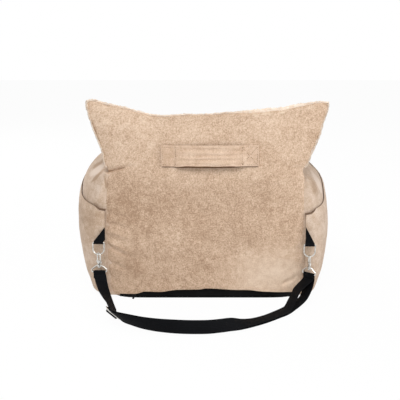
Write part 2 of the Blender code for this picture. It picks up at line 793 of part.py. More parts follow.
def ring_spot(side):
    """The middle of a ring's bar. The strap hangs a little lower on the right."""
    return Vector((HOOK_SHIFT + side * HOOK_SPACING / 2, RING_Y,
                   RING_BAR_HEIGHT - side * RING_BAR_SLANT / 2))


def on_ring_axis(item, side):
    """Lays a piece that is modelled about the X axis on the line through both rings' bars."""
    turn = Matrix.Rotation(RING_TILT, 4, "Y")
    item.data.transform(Matrix.Translation(ring_spot(side)) @ turn)


def make_ring(name, side):
    """A D-shaped wire ring that turns about its straight bar."""
    half = RING_WIDTH / 2
    bend = half / 7
    shape = arc((half - bend, -bend), bend, 90, 0, 3)
    shape += arc((0, half - RING_DROP), half, 0, -180, 12)
    shape += arc((bend - half, -bend), bend, 180, 90, 3)
    path = [Vector((x, 0, z)) for x, z in shape]
    ring = tube("d_ring_" + name, path, RING_WIRE, nickel(), Vector((0, 1, 0)), closed=True)
    on_ring_axis(ring, side)
    hang(ring, axis_empty("d_ring_axis_" + name, ring_spot(side)))


def make_tab(name, side):
    """Folded webbing, sewn into the upright seam above, with a sleeve round the ring's bar."""
    middle, height = ring_spot(side).x, ring_spot(side).z
    inner_r = RING_WIRE + FIT
    outer_r = inner_r + TAB_CLOTH

    def sleeve(title, half, radius, sides):
        rings = [[Vector((x, y, z)) for y, z in arc((0, 0), radius, 0, 360 - 360 / sides, sides - 1)]
                 for x in (-half, half)]
        made = loft(title, rings, webbing())
        on_ring_axis(made, side)
        return made

    tab = sleeve("tab_" + name, TAB_WIDTH / 2, outer_r, ROUND_SIDES * 2)
    seam = side * (PANEL_WIDTH / 2 + 2 * FIT)
    out = middle + side * TAB_WIDTH / 2
    near = middle - side * TAB_WIDTH / 2
    root_y = -SEAM_Y - POCKET_STAND - POCKET_CLOTH - FIT * 2
    low_z = height + outer_r * 0.7
    low_y = RING_Y + outer_r * 0.5
    corners = [(seam, root_y, TAB_TOP), (out, low_y, low_z + TAB_CLOTH), (out, low_y, low_z - TAB_CLOTH),
               (near, low_y, low_z - TAB_CLOTH), (seam, root_y, TAB_ROOT)]
    back = [Vector(c) for c in corners]
    front = [p - Vector((0, 2 * TAB_CLOTH, 0)) for p in back]
    fold = loft("tab_fold_" + name, [back, front], webbing())
    combine(tab, fold, "UNION")
    combine(tab, sleeve("tab_bore_" + name, TAB_WIDTH, inner_r, ROUND_SIDES), "DIFFERENCE")


# The snap hooks, each modelled about its own swivel: across, depth, up

def swivel_spot(side):
    return ring_spot(side) - Vector((0, 0, SWIVEL_DROP))


def place_local(item, side, turn):
    """Turns a piece about its swivel and stands it under its ring."""
    item.data.transform(Matrix.Translation(swivel_spot(side)) @ Matrix.Rotation(turn, 4, "Z"))


def make_loop(name, side, turn):
    """The part that the webbing is sewn to: a collar for the swivel and a wide wire loop."""
    half = WEBBING_WIDTH / 2 + 4 * FIT + LOOP_WIRE
    corner = 1.6 * LOOP_WIRE
    shape = [(-COLLAR_RADIUS + LOOP_WIRE / 2, 0.0), (-COLLAR_RADIUS * 2, -LOOP_WIRE * 2)]
    shape += [(-half, -LOOP_SHOULDER)]
    shape += arc((corner - half, corner - LOOP_DROP), corner, 180, 270, 3)
    path = [Vector((x, 0, z)) for x, z in shape]
    path += [Vector((-p.x, 0, p.z)) for p in reversed(path)]
    loop = tube("strap_loop_" + name, path, LOOP_WIRE, nickel(), Vector((0, 1, 0)))
    collar_half = COLLAR_HEIGHT / 2
    collar = turned("collar_" + name, [(COLLAR_RADIUS, -collar_half), (COLLAR_RADIUS, collar_half)],
                    nickel())
    bore_half = COLLAR_HEIGHT
    bore = turned("collar_bore_" + name, [(SWIVEL_RADIUS + 2 * FIT, -bore_half),
                                          (SWIVEL_RADIUS + 2 * FIT, bore_half)], nickel())
    for item in (loop, collar, bore):
        place_local(item, side, turn)
    combine(loop, collar, "UNION")
    combine(loop, bore, "DIFFERENCE")
    return loop


def make_hook(name, side, turn):
    """The hook with its swivel post, the sprung gate that closes it and the gate's pin."""
    eye = EYE_HEIGHT
    shape = [(-HOOK_EYE, HOOK_BLOCK_TOP * 0.8), (-HOOK_EYE, eye)]
    shape = shape[:1] + arc((0, eye), HOOK_EYE, 180, 0, 10) + [(HOOK_EYE, HOOK_NOSE)]
    body = tube("hook_" + name, [Vector((x, 0, z)) for x, z in shape], HOOK_WIRE, nickel(),
                Vector((0, 1, 0)))
    gap = COLLAR_HEIGHT / 2 + FIT * 2
    post = turned("hook_post_" + name,
                  [(SWIVEL_HEAD * 0.5, -gap - SWIVEL_HEAD), (SWIVEL_HEAD * 0.9, -gap - SWIVEL_HEAD * 0.7),
                   (SWIVEL_HEAD, -gap - SWIVEL_HEAD * 0.3), (SWIVEL_HEAD, -gap),
                   (SWIVEL_RADIUS, -gap), (SWIVEL_RADIUS, gap), (SWIVEL_RADIUS * 1.5, gap),
                   (SWIVEL_RADIUS * 1.5, gap + 2 * HOOK_WIRE)], nickel())
    rings = []
    for width, height in ((0.5, gap + HOOK_WIRE / 2), (0.85, gap + 1.6 * HOOK_WIRE),
                          (1.0, (gap + HOOK_BLOCK_TOP) / 2), (1.0, HOOK_BLOCK_TOP)):
        half, deep = HOOK_BLOCK_HALF * width, HOOK_BLOCK_DEPTH
        cut = deep / 2
        rings.append([Vector((x, y, height)) for x, y in (
            (half, -deep + cut), (half, deep - cut), (half - cut, deep), (cut - half, deep),
            (-half, deep - cut), (-half, cut - deep), (cut - half, -deep), (half - cut, -deep))])
    block = loft("hook_block_" + name, rings, nickel())
    slot_half = GATE / 2 + GATE_PLAY
    slot_in, slot_floor = GATE_PIVOT_OUT * GATE_SLOT_SHARE, HOOK_BLOCK_TOP * GATE_SLOT_SHARE
    slot = box("hook_slot_" + name, (slot_in, -slot_half, slot_floor),
               (HOOK_BLOCK_HALF * 2, slot_half, HOOK_BLOCK_TOP * 1.1), nickel())
    bore = turned("hook_bore_" + name, [(GATE_PIN + GATE_PLAY, -HOOK_BLOCK_HALF),
                                        (GATE_PIN + GATE_PLAY, HOOK_BLOCK_HALF)], nickel())
    pivot = Vector((GATE_PIVOT_OUT, 0, GATE_PIVOT_UP))
    lay_flat = Matrix.Translation(pivot) @ Matrix.Rotation(math.pi / 2, 4, "X")
    bore.data.transform(lay_flat)
    pin_half = HOOK_BLOCK_DEPTH + FIT
    pin = turned("gate_pin_" + name, [(GATE_PIN, -pin_half), (GATE_PIN, pin_half)], nickel())
    pin.data.transform(lay_flat)
    r = HOOK_WIRE
    gate_shape = [(HOOK_EYE - 0.75 * r, HOOK_NOSE - FIT), (HOOK_EYE + 0.75 * r, HOOK_NOSE - FIT),
                  (HOOK_EYE + 0.8 * r, HOOK_BLOCK_TOP), (GATE_PIVOT_OUT + 3.0 * r, GATE_PIVOT_UP - 0.8 * r),
                  (GATE_PIVOT_OUT + 2.8 * r, GATE_PIVOT_UP - 1.9 * r),
                  (GATE_PIVOT_OUT + 1.6 * r, GATE_PIVOT_UP - 1.7 * r),
                  (GATE_PIVOT_OUT - 0.9 * r, GATE_PIVOT_UP - 1.1 * r),
                  (GATE_PIVOT_OUT - 1.2 * r, GATE_PIVOT_UP + 0.8 * r)]
    gate = extrude_outline("hook_gate_" + name, gate_shape, GATE, nickel())
    gate_bore = turned("gate_bore_" + name, [(GATE_PIN + GATE_PLAY, -HOOK_BLOCK_HALF),
                                             (GATE_PIN + GATE_PLAY, HOOK_BLOCK_HALF)], nickel())
    gate_bore.data.transform(lay_flat)
    for item in (body, post, block, slot, bore, pin, gate, gate_bore):
        place_local(item, side, turn)
    combine(body, block, "UNION")
    combine(body, slot, "DIFFERENCE")
    combine(body, post, "UNION")
    combine(body, bore, "DIFFERENCE")
    combine(gate, gate_bore, "DIFFERENCE")
    swivel = axis_empty("hook_swivel_" + name, swivel_spot(side))
    hang(body, swivel)
    hang(pin, swivel)
    spot = swivel.location + Matrix.Rotation(turn, 3, "Z") @ pivot
    hang(gate, axis_empty("gate_axis_" + name, spot))


# The strap

def curve_point(points, place):
    """A smooth curve through points, read at a whole or part point number."""
    k = min(int(place), len(points) - 2)
    t = place - k
    p1, p2 = points[k], points[k + 1]
    p0 = points[k - 1] if k else p1 * 2 - p2
    p3 = points[k + 2] if k + 2 < len(points) else p2 * 2 - p1
    return 0.5 * (2 * p1 + (p2 - p0) * t + (2 * p0 - 5 * p1 + 4 * p2 - p3) * t * t
                  + (3 * p1 - p0 - 3 * p2 + p3) * t ** 3)


def loop_bar(side, turn):
    """The middle of a loop's bar, and the way across the webbing from lower to upper edge."""
    centre = swivel_spot(side) - Vector((0, 0, LOOP_DROP))
    return centre, Vector((-math.cos(turn), -math.sin(turn), 0))


def fold_over(centre, across, start_side, steps=6):
    """Webbing over a loop's bar, as stations from the start side over the top to the other."""
    flat = Vector((0, 0, 1)).cross(across).normalized() * start_side
    made = []
    for k in range(steps + 1):
        turn = math.pi * k / steps
        spot = centre + FOLD_RADIUS * (flat * math.cos(turn) + Vector((0, 0, math.sin(turn))))
        made.append((spot, across))
    return made


def strap_route():
    """The middle of the outer layer and the way across it, at close steps."""
    places, ways = [], []
    for out, back, up, way in STRAP_ROUTE_SHARES:
        places.append(Vector((out * HOOK_SPACING / 2, RING_Y - back * STRAP_DEPTH,
                              up * RING_BAR_HEIGHT)))
        ways.append(Vector(way).normalized())
    steps = (len(places) - 1) * ROUTE_STEPS
    return [(curve_point(places, k / ROUTE_STEPS), curve_point(ways, k / ROUTE_STEPS).normalized())
            for k in range(steps + 1)]


def adjuster_frame(route):
    """Where the adjuster sits: its middle, along the strap, across it and out of it."""
    k = ADJUSTER_POINT * ROUTE_STEPS
    along = (route[k + 1][0] - route[k - 1][0]).normalized()
    across = route[k][1]
    across = (across - along * across.dot(along)).normalized()
    return route[k][0], along, across, along.cross(across).normalized()


def part_layers(route, start):
    """The strap's two layers from the adjuster to the right loop: the front one rises off the
    back one past a start station, and both meet again at the loop."""
    fronts, backs = [], []
    count = len(route)
    for k, (spot, across) in enumerate(route):
        ahead = route[min(k + 1, count - 1)][0] - route[max(k - 1, 0)][0]
        normal = ahead.cross(across).normalized()
        share = max(0.0, (k - start) / (count - 1 - start))
        close = LAYER_STEP + LAYER_GAP * min(1.0, k / 3)
        gap = close + (2 * FOLD_RADIUS - close) * share ** 2
        bow = math.sin(math.pi * share) ** PARTING_POWER
        fronts.append((spot + normal * gap * bow + Vector((PARTING_OUT, 0, PARTING_RISE)) * bow, across))
        backs.append((spot - normal * gap * (1 - bow), across))
    return fronts, backs


def make_strap():
    route = strap_route()
    origin, along, across, out = adjuster_frame(route)
    under = BAR + ADJUSTER_PLAY + WEBBING / 2
    over = under + LAYER_STEP
    end = BAR_SPACING + BAR + ADJUSTER_TRAVEL + 2 * ADJUSTER_PLAY
    holder = axis_empty("strap_swing", (ring_spot(-1) + ring_spot(1)) / 2)

    def local(s, n):
        return origin + along * s + out * n

    # the single layer, from its sewn end round the left loop to the adjuster
    bar, way = loop_bar(-1, LEFT_LOOP_TURN)
    seat_side = fold_over(bar, way, -1)
    stations = [(seat_side[0][0] - Vector((0, 0, STRAP_OVERLAP * k / 2)), way) for k in (2, 1)]
    stations += seat_side
    place = ADJUSTER_POINT * ROUTE_STEPS
    clear = end + WEBBING_WIDTH / 5
    before = [s for s in route[:place] if (s[0] - origin).length > clear]
    stations += before + [(local(-end - WEBBING, 0), across), (local(-end, 0), across)]
    single = ribbon("strap_single", stations, webbing())

    # the doubled layers, from the adjuster round the right loop and back
    bar, way = loop_bar(1, RIGHT_LOOP_TURN)
    after = [s for s in route[place:] if (s[0] - origin).length > clear]
    lead = end + WEBBING
    doubled = [(local(end, 0), across), (local(lead, 0), across)] + after
    over_bar = fold_over(bar, way, 1)
    parting = len(doubled) - (len(STRAP_ROUTE_SHARES) - 1 - PARTING_POINT) * ROUTE_STEPS
    front, back = part_layers(doubled, parting)
    back[:2] = [(local(end, -LAYER_STEP), across), (local(lead, -LAYER_STEP), across)]
    double = ribbon("strap_double", front + over_bar + back[::-1], webbing())

    # the short bends inside the adjuster
    reach = math.degrees(math.acos((under + over) / BAR_SPACING))
    path = [(-end + FIT, 0.0)]
    path += arc((-BAR_SPACING, under), under, 270, 360 - reach, 3)
    path += arc((0, under), over, 180 - reach, reach, 6)
    path += arc((BAR_SPACING, under), under, 180 + reach, 270, 3)
    path += [(end - FIT, 0.0)]
    feed = ribbon("strap_feed", [(local(s, n), across) for s, n in path], webbing())
    path = [(end - FIT, -LAYER_STEP), (BAR_SPACING, -LAYER_STEP)]
    path += arc((0, under), under, 256, -25, 10)
    sewn = ribbon("strap_sewn_end", [(local(s, n), across) for s, n in path], webbing())
    for item in (single, double, feed, sewn):
        hang(item, holder)

    # the adjuster: a wire frame with a middle bar
    half = WEBBING_WIDTH / 2 + 2 * ADJUSTER_PLAY + BAR
    corner = 2 * BAR
    middle = local(0, under)
    frame = []
    for sx, sy, start in ((1, 1, 0), (-1, 1, 90), (-1, -1, 180), (1, -1, 270)):
        for s, w in arc((sx * (BAR_SPACING - corner), sy * (half - corner)), corner, start,
                        start + 90, 3):
            frame.append(middle + along * s + across * w)
    glide = tube("adjuster", frame, BAR, nickel(), out, closed=True)
    cross_bar = tube("adjuster_bar", [middle - across * half, middle + across * half],
                     BAR * CROSS_BAR_SHARE, nickel(), out)
    combine(glide, cross_bar, "UNION")
    hang(glide, axis_empty("adjuster_slide", middle))


def main():
    clear_scene()
    make_floor()
    make_rear_cover()
    make_back_plush()
    make_back_filling()
    make_front()
    for name, side in (("left", -1), ("right", 1)):
        make_arm(name, side)
        make_pocket(name, side)
        make_ring(name, side)
        make_tab(name, side)
    make_cushion()
    make_band()
    make_zip()
    make_loop("left", -1, LEFT_LOOP_TURN)
    make_loop("right", 1, RIGHT_LOOP_TURN)
    make_hook("left", -1, LEFT_TURN)
    make_hook("right", 1, RIGHT_TURN)
    make_strap()


main()
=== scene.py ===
"""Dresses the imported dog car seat: suede, plush, webbing and metal over the frame.

Metres, +Z up. The dog looks along +Y and left is -X. The part's sizes, most tables of shares and the
functions that place a point repeat the part's own, so each piece lies where its solid is. The rims
of the pockets differ by side here, and what the cloth does on top of the part's shapes is added.
"""

import math
import random

import bmesh
import bpy
from mathutils import Euler, Matrix, Vector, noise


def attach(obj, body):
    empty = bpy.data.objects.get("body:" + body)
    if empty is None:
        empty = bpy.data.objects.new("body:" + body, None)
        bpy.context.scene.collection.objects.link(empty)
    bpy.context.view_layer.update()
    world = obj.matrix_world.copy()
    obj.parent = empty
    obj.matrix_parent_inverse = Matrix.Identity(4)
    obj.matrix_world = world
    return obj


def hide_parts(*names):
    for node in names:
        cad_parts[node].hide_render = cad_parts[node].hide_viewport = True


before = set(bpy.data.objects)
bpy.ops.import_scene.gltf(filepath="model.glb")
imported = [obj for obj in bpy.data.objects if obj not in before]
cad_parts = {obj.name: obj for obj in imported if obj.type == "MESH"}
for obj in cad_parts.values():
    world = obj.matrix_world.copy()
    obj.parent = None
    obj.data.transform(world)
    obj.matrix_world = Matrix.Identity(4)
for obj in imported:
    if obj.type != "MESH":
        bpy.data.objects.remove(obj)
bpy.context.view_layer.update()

# The part's sizes
SEAT_DEPTH = 0.480
SEAT_HEIGHT = 0.405
PANEL_WIDTH = 0.412
ARM_BULGE_WIDTH = 0.550
ARM_HEIGHT = 0.286
CAVITY_WIDTH = 0.330
WEBBING_WIDTH = 0.025
WEBBING = 0.0015
CLOTH = 0.003
FIT = 0.0003
ARM_FOOT = 0.0034
BASE_CLOTH = 0.003
BASE_INSET = 0.008
BOARD = 0.005
FLOOR_FOAM = 0.013
FLOOR_LINING = 0.002
BACK_THICKNESS = 0.064
BACK_CROWN_LOW = 0.009
BACK_CROWN_HIGH = 0.015
BACK_LEAN = 0.012
BACK_TOP_SAG = 0.024
PLUSH = 0.008
PLUSH_CROWN = 0.007
HEM_HEIGHT = 0.006
HEM_RISE = 0.014
FRONT_HEIGHT = 0.222
FRONT_THICKNESS = 0.076
FRONT_PANEL_HEIGHT = 0.206
FRONT_PANEL_FOOT = 0.007
FRONT_CROWN = 0.010
POCKET_CLOTH = 0.003
POCKET_STAND = 0.0016
POCKET_FOOT = 0.008
CUSHION_SIDE_GAP = 0.004
CUSHION_BACK_GAP = 0.008
CUSHION_HEIGHT = 0.058
CUSHION_CROWN = 0.013
CUSHION_CORNER = 0.060
CUSHION_DRAW_IN = 0.006
BAND_LENGTH = 0.1945
BAND_WIDTH = 0.0415
BAND_OFFSET = 0.0092
BAND_CENTRE_HEIGHT = 0.3003
BAND_CLOTH = 0.0022
BAND_STITCHED = 0.026
BAND_STAND = 0.0070
ZIP_LENGTH = 0.352
ZIP_TAPE = 0.0014
ZIP_TAPE_HEIGHT = 0.022
ZIP_TAPE_FOOT = 0.0004
CHAIN_HEIGHT = 0.0046
CHAIN_WIDTH = 0.0034
CHAIN = 0.0010
HOOK_SPACING = 0.433
HOOK_SHIFT = -0.0025
RING_BAR_HEIGHT = 0.1187
RING_BAR_SLANT = 0.0050
RING_STAND_OFF = 0.0160
RING_DROP = 0.0252
RING_WIRE = 0.0014
TAB_WIDTH = 0.0190
TAB_TOP = 0.151
TAB_ROOT = 0.124
TAB_CLOTH = 0.0016
HOOK_WIRE = 0.0015
HOOK_EYE = 0.00525
EYE_HEIGHT = 0.0210
LOOP_WIRE = 0.0014
LOOP_DROP = 0.0140
STRAP_REACH = 0.188
STRAP_OVERLAP = 0.015
LAYER_GAP = 0.0010
PARTING = (-0.0142, 0, 0.0092)
BAR = 0.0013
BAR_SPACING = 0.0085
ADJUSTER_PLAY = 0.0008
ADJUSTER_TRAVEL = 0.008
CORNER_SHARE = 0.8
BACK_STEP_SHARE = 0.657
ADJUSTER_POINT = 6
PARTING_POINT = 20
PARTING_POWER = 1.2
LEFT_LOOP_TURN = 0.0
RIGHT_LOOP_TURN = math.radians(-42)
ARM_OUTLINE_SHARES = (
    (0.0, 0.0), (0.0, 0.2), (0.0, 0.4), (0.0, 0.6), (0.01, 0.77), (0.06, 0.88), (0.16, 0.955),
    (0.29, 0.993), (0.42, 1.0), (0.53, 0.985), (0.64, 0.95), (0.74, 0.90), (0.83, 0.835),
    (0.905, 0.77), (0.955, 0.71), (0.982, 0.65), (0.998, 0.57), (1.0, 0.47), (0.985, 0.355),
    (0.955, 0.26), (0.90, 0.15), (0.83, 0.065), (0.78, 0.0))
ARM_CREST_POINT = 8
ARM_CREST_SHARES = ((0.0, 0.90), (0.08, 0.93), (0.15, 0.965), (0.3, 1.0), (0.5, 0.985),
                    (0.7, 0.925), (0.87, 0.83), (1.0, 0.71))
PANEL_EDGE_SHARES = ((0.015, 0.955), (0.07, 0.985), (0.2, 1.0), (0.5, 1.0), (0.62, 0.985),
                     (0.66, 0.966), (0.70, 1.005), (0.755, 1.038), (0.80, 1.073), (0.85, 1.11),
                     (0.92, 1.152), (0.965, 1.172), (1.0, 1.178))
POCKET_RIM_SHARES = {
    -1: ((0.0, 0.643), (0.001, 0.652), (0.0043, 0.669), (0.0095, 0.673), (0.025, 0.683), (0.12, 0.702),
         (0.18, 0.718), (0.24, 0.742), (0.30, 0.775), (0.38, 0.790), (0.57, 0.795), (0.72, 0.78),
         (0.87, 0.73), (1.0, 0.655)),
    1: ((0.0, 0.613), (0.001, 0.620), (0.0045, 0.633), (0.0135, 0.650), (0.025, 0.655), (0.12, 0.671),
        (0.20, 0.705), (0.27, 0.765), (0.33, 0.84), (0.40, 0.88), (0.55, 0.87), (0.7, 0.84),
        (0.87, 0.76), (1.0, 0.655))}
STRAP_ROUTE_SHARES = (
    (-1.002, 0.015, 0.442, (-1, 0, 0)),
    (-0.989, 0.060, 0.358, (-0.985, -0.12, 0.12)),
    (-0.967, 0.129, 0.286, (-0.95, -0.22, 0.22)),
    (-0.935, 0.225, 0.223, (-0.88, -0.3, 0.36)),
    (-0.891, 0.363, 0.181, (-0.79, -0.28, 0.54)),
    (-0.850, 0.491, 0.158, (-0.72, -0.2, 0.67)),
    (-0.813, 0.632, 0.143, (-0.7, -0.14, 0.7)),
    (-0.776, 0.752, 0.142, (-0.68, -0.14, 0.72)),
    (-0.736, 0.806, 0.143, (-0.55, -0.2, 0.81)),
    (-0.679, 0.850, 0.142, (-0.37, -0.28, 0.88)),
    (-0.540, 0.922, 0.126, (-0.15, -0.2, 0.96)),
    (-0.379, 0.970, 0.116, (-0.05, -0.02, 0.99)),
    (-0.185, 0.996, 0.113, (0, 0.25, 0.96)),
    (0.000, 0.996, 0.113, (0, 0.3, 0.95)),
    (0.115, 0.964, 0.113, (-0.03, 0.42, 0.9)),
    (0.215, 0.916, 0.109, (-0.05, 0.65, 0.76)),
    (0.309, 0.851, 0.078, (-0.1, 0.9, 0.38)),
    (0.409, 0.768, 0.057, (-0.2, 0.96, 0.15)),
    (0.521, 0.670, 0.051, (-0.22, 0.97, 0.09)),
    (0.632, 0.561, 0.058, (-0.27, 0.96, 0.10)),
    (0.727, 0.461, 0.067, (-0.36, 0.92, 0.12)),
    (0.806, 0.349, 0.079, (-0.4, 0.91, 0.1)),
    (0.877, 0.246, 0.096, (-0.38, 0.92, 0.06)),
    (0.921, 0.164, 0.114, (-0.45, 0.89, 0)),
    (0.952, 0.100, 0.177, (-0.56, 0.82, -0.05)),
    (0.975, 0.044, 0.278, (-0.65, 0.75, -0.04)),
    (0.982, 0.012, 0.379, (-0.74, 0.67, 0)))
ROUTE_STEPS = 12

SEAM_Y = SEAT_DEPTH / 2 - CLOTH - FIT
ARM_THICKNESS = (ARM_BULGE_WIDTH - CAVITY_WIDTH) / 2 - POCKET_STAND - POCKET_CLOTH
BACK_FRONT_Y = -SEAM_Y + BACK_THICKNESS
FRONT_INNER_Y = SEAM_Y - FRONT_THICKNESS
BOARD_FOOT = BASE_CLOTH + FIT
FOAM_FOOT = BOARD_FOOT + BOARD + FIT
LINING_FOOT = FOAM_FOOT + FLOOR_FOAM + FIT
CUSHION_FOOT = LINING_FOOT + FLOOR_LINING + FIT
RING_Y = -SEAM_Y - RING_STAND_OFF
RING_TILT = math.atan2(RING_BAR_SLANT, HOOK_SPACING)
SWIVEL_DROP = RING_DROP - RING_WIRE - FIT - HOOK_WIRE + HOOK_EYE + EYE_HEIGHT
FOLD_RADIUS = LOOP_WIRE + FIT + WEBBING / 2
LAYER_STEP = WEBBING + ADJUSTER_PLAY

# How far the tape's ends show past the part's
TAPE_LEFT = 0.003
TAPE_RIGHT = 0.012
# What the cloth does on top of the part's shapes
EAR_SHIFT = 0.0035
EDGE_TURN_IN = 0.0018
TIP_SWELL = 0.0004
EAR_TRIM = 0.0016
SEAM_GAP = 0.0012
TOP_INSET = ((-0.24, 0.0030), (-0.10, 0.0035), (0.0, 0.0028), (0.06, 0.0036), (0.10, 0.0066),
             (0.17, 0.0070), (0.21, 0.0040), (0.24, 0.0024))
SIDE_ROLL = {-1: 0.0010, 1: 0.0008}
EAR_TUCK = 0.0028
TOP_WAVE = ((-0.242, 0.0), (-0.2266, 0.0075), (-0.202, 0.0045), (-0.175, 0.0027),
            (-0.1485, -0.0011), (-0.122, -0.005), (-0.0986, -0.0076), (-0.068, -0.005),
            (-0.04, -0.0015), (-0.011, -0.0005), (0.036, 0.002), (0.079, 0.003),
            (0.1225, 0.0035), (0.155, 0.003), (0.1766, 0.0052), (0.209, 0.005),
            (0.2306, 0.004), (0.245, 0.0))
HEM_LINE = ((-0.1958, 0.0055), (-0.1807, 0.0068), (-0.1489, 0.0075), (-0.1235, 0.0134),
            (-0.0957, 0.0134), (-0.0589, 0.0183), (-0.0111, 0.0189), (0.0, 0.0209),
            (0.0319, 0.0198), (0.0639, 0.0176), (0.0873, 0.0176), (0.1172, 0.0143),
            (0.1492, 0.0121), (0.1812, 0.0108), (0.198, 0.0099))
# Folds: a line of (x, z) points, its width and how deep it is pressed in (below zero: a ridge)
PANEL_FOLDS = (
    (((-0.204, 0.2630), (-0.180, 0.2702), (-0.163, 0.2752), (-0.146, 0.2790)), 0.0034, 0.0140),
    (((-0.200, 0.2585), (-0.172, 0.2620)), 0.0050, 0.0035),
    (((0.205, 0.2700), (0.185, 0.2745), (0.168, 0.2760)), 0.0045, 0.0028),
    (((0.163, 0.0302), (0.180, 0.0380), (0.196, 0.0475)), 0.0035, 0.0060),
    (((-0.202, 0.0465), (-0.190, 0.0400), (-0.177, 0.0291)), 0.0045, 0.0022),
    (((-0.206, 0.1216), (-0.188, 0.1130), (-0.162, 0.0990)), 0.0050, -0.0050),
    (((-0.206, 0.1120), (-0.182, 0.1000), (-0.150, 0.0870)), 0.0045, 0.0050),
    (((-0.206, 0.1400), (-0.186, 0.1380), (-0.150, 0.1260)), 0.0055, -0.0045),
    (((-0.206, 0.1550), (-0.184, 0.1560), (-0.150, 0.1440)), 0.0050, 0.0042),
    (((-0.206, 0.0760), (-0.186, 0.0700), (-0.155, 0.0560)), 0.0050, 0.0042),
    (((-0.206, 0.1800), (-0.185, 0.1770), (-0.160, 0.1735)), 0.0045, 0.0034),
    (((0.206, 0.1250), (0.190, 0.1130), (0.172, 0.1060)), 0.0036, -0.0026),
    (((0.206, 0.1420), (0.188, 0.1400), (0.168, 0.1330)), 0.0040, 0.0022),
    (((0.206, 0.0700), (0.190, 0.0650), (0.172, 0.0560)), 0.0040, 0.0022))
ARM_FOLDS_LEFT = (
    (((-0.206, 0.2780), (-0.220, 0.2725), (-0.237, 0.2644)), 0.0042, 0.0060),
    (((-0.2057, 0.2700), (-0.221, 0.2600), (-0.236, 0.2500)), 0.0045, -0.0055),
    (((-0.206, 0.2560), (-0.220, 0.2440), (-0.240, 0.2200)), 0.0050, 0.0040),
    (((-0.206, 0.2350), (-0.222, 0.2150), (-0.236, 0.2000)), 0.0060, -0.0030))
ARM_FOLDS_RIGHT = (
    (((0.206, 0.2640), (0.222, 0.2560), (0.238, 0.2460)), 0.0050, 0.0045),
    (((0.206, 0.2400), (0.222, 0.2300), (0.236, 0.2150)), 0.0050, -0.0030),
    (((0.206, 0.2200), (0.222, 0.2000), (0.232, 0.1900)), 0.0050, 0.0025))


def lerp(a, b, t):
    return a + (b - a) * t


def smoothstep(low, high, value):
    t = min(1.0, max(0.0, (value - low) / (high - low)))
    return t * t * (3 - 2 * t)


def smooth_table(pairs, place):
    """Reads a table of (place, value) pairs on a smooth line that never overshoots."""
    k = 0
    while k < len(pairs) - 2 and place > pairs[k + 1][0]:
        k += 1
    (x0, y0), (x1, y1) = pairs[k], pairs[k + 1]
    wide = x1 - x0
    t = min(1.0, max(0.0, (place - x0) / wide))
    m0, m1 = slope_at(pairs, k) * wide, slope_at(pairs, k + 1) * wide
    return ((1 + 2 * t) * (1 - t) ** 2 * y0 + t * (1 - t) ** 2 * m0
            + t * t * (3 - 2 * t) * y1 - t * t * (1 - t) * m1)


def slope_at(pairs, k):
    """The slope of a table at its point k, level where the table turns back."""
    steps = zip(pairs[max(k - 1, 0):], pairs[max(k, 1):k + 2])
    near = [(b[1] - a[1]) / (b[0] - a[0]) for a, b in steps]
    if len(near) < 2:
        return near[0]
    return 0.0 if near[0] * near[1] <= 0 else 2 * near[0] * near[1] / (near[0] + near[1])


def curve_point(points, place):
    """A smooth curve through points, read at a whole or part point number."""
    k = min(int(place), len(points) - 2)
    t = place - k
    p1, p2 = points[k], points[k + 1]
    p0 = points[k - 1] if k else p1 * 2 - p2
    p3 = points[k + 2] if k + 2 < len(points) else p2 * 2 - p1
    return 0.5 * (2 * p1 + (p2 - p0) * t + (2 * p0 - 5 * p1 + 4 * p2 - p3) * t * t
                  + (3 * p1 - p0 - 3 * p2 + p3) * t ** 3)


def arc(centre, radius, start, end, steps):
    made = []
    for k in range(steps + 1):
        turn = math.radians(start + (end - start) * k / steps)
        made.append((centre[0] + radius * math.cos(turn), centre[1] + radius * math.sin(turn)))
    return made


def spread(low, high, count):
    return [low + (high - low) * k / (count - 1) for k in range(count)]


def lumps(point, size, seed):
    """Soft unevenness from -1 to 1, with bumps about as wide as size."""
    return noise.noise(point / size + Vector((seed, seed * 0.37, -seed * 0.61)))


# The lumps of each kind of cloth, broad ones first: height, width and seed
LUMPS = {
    "arm_left": ((0.0030, 0.075, 2), (0.0011, 0.026, 7)),
    "arm_right": ((0.0030, 0.075, 4), (0.0011, 0.026, 9)),
    "panel": ((0.0022, 0.085, 31), (0.0010, 0.030, 32), (0.00035, 0.009, 33)),
    "panel_edge": ((0.0012, 0.009, 21), (0.0007, 0.004, 22)),
    "pillow": ((0.0035, 0.09, 41), (0.0016, 0.03, 42)),
    "fringe": ((1.0, 0.008, 61), (0.6, 0.004, 62)),
    "front_roll": ((0.0024, 0.07, 71), (0.001, 0.025, 72)),
    "front_cloth": ((0.0022, 0.08, 73), (0.0009, 0.028, 74)),
    "cushion": ((0.0026, 0.07, 91), (0.0012, 0.025, 92))}


def uneven(point, kind):
    """How far one kind of cloth stands out at a point, by its lumps."""
    total = 0.0
    for height, size, seed in LUMPS[kind]:
        total += height * lumps(point, size, seed)
    return total


def hill(value, middle, width):
    """A smooth hill: 1 at its middle, and near 0 at twice its width."""
    return math.exp(-((value - middle) / width) ** 2)


def fold_depth(folds, x, z):
    """How far a point is pressed in by the folds near it."""
    total = 0.0
    spot = Vector((x, z))
    for line, width, depth in folds:
        reach = 3 * width
        if not (min(p[0] for p in line) - reach < x < max(p[0] for p in line) + reach
                and min(p[1] for p in line) - reach < z < max(p[1] for p in line) + reach):
            continue
        best, along, length = 1.0, 0.0, 0.0
        for a, b in zip(line, line[1:]):
            a, b = Vector(a), Vector(b)
            way = b - a
            t = min(1.0, max(0.0, (spot - a).dot(way) / way.length_squared))
            away = (a + way * t - spot).length
            if away < best:
                best, along = away, length + way.length * t
            length += way.length
        fade = min(1.0, 1.15 - along / length)
        total += depth * fade * hill(best, 0.0, width)
    return total


# Materials

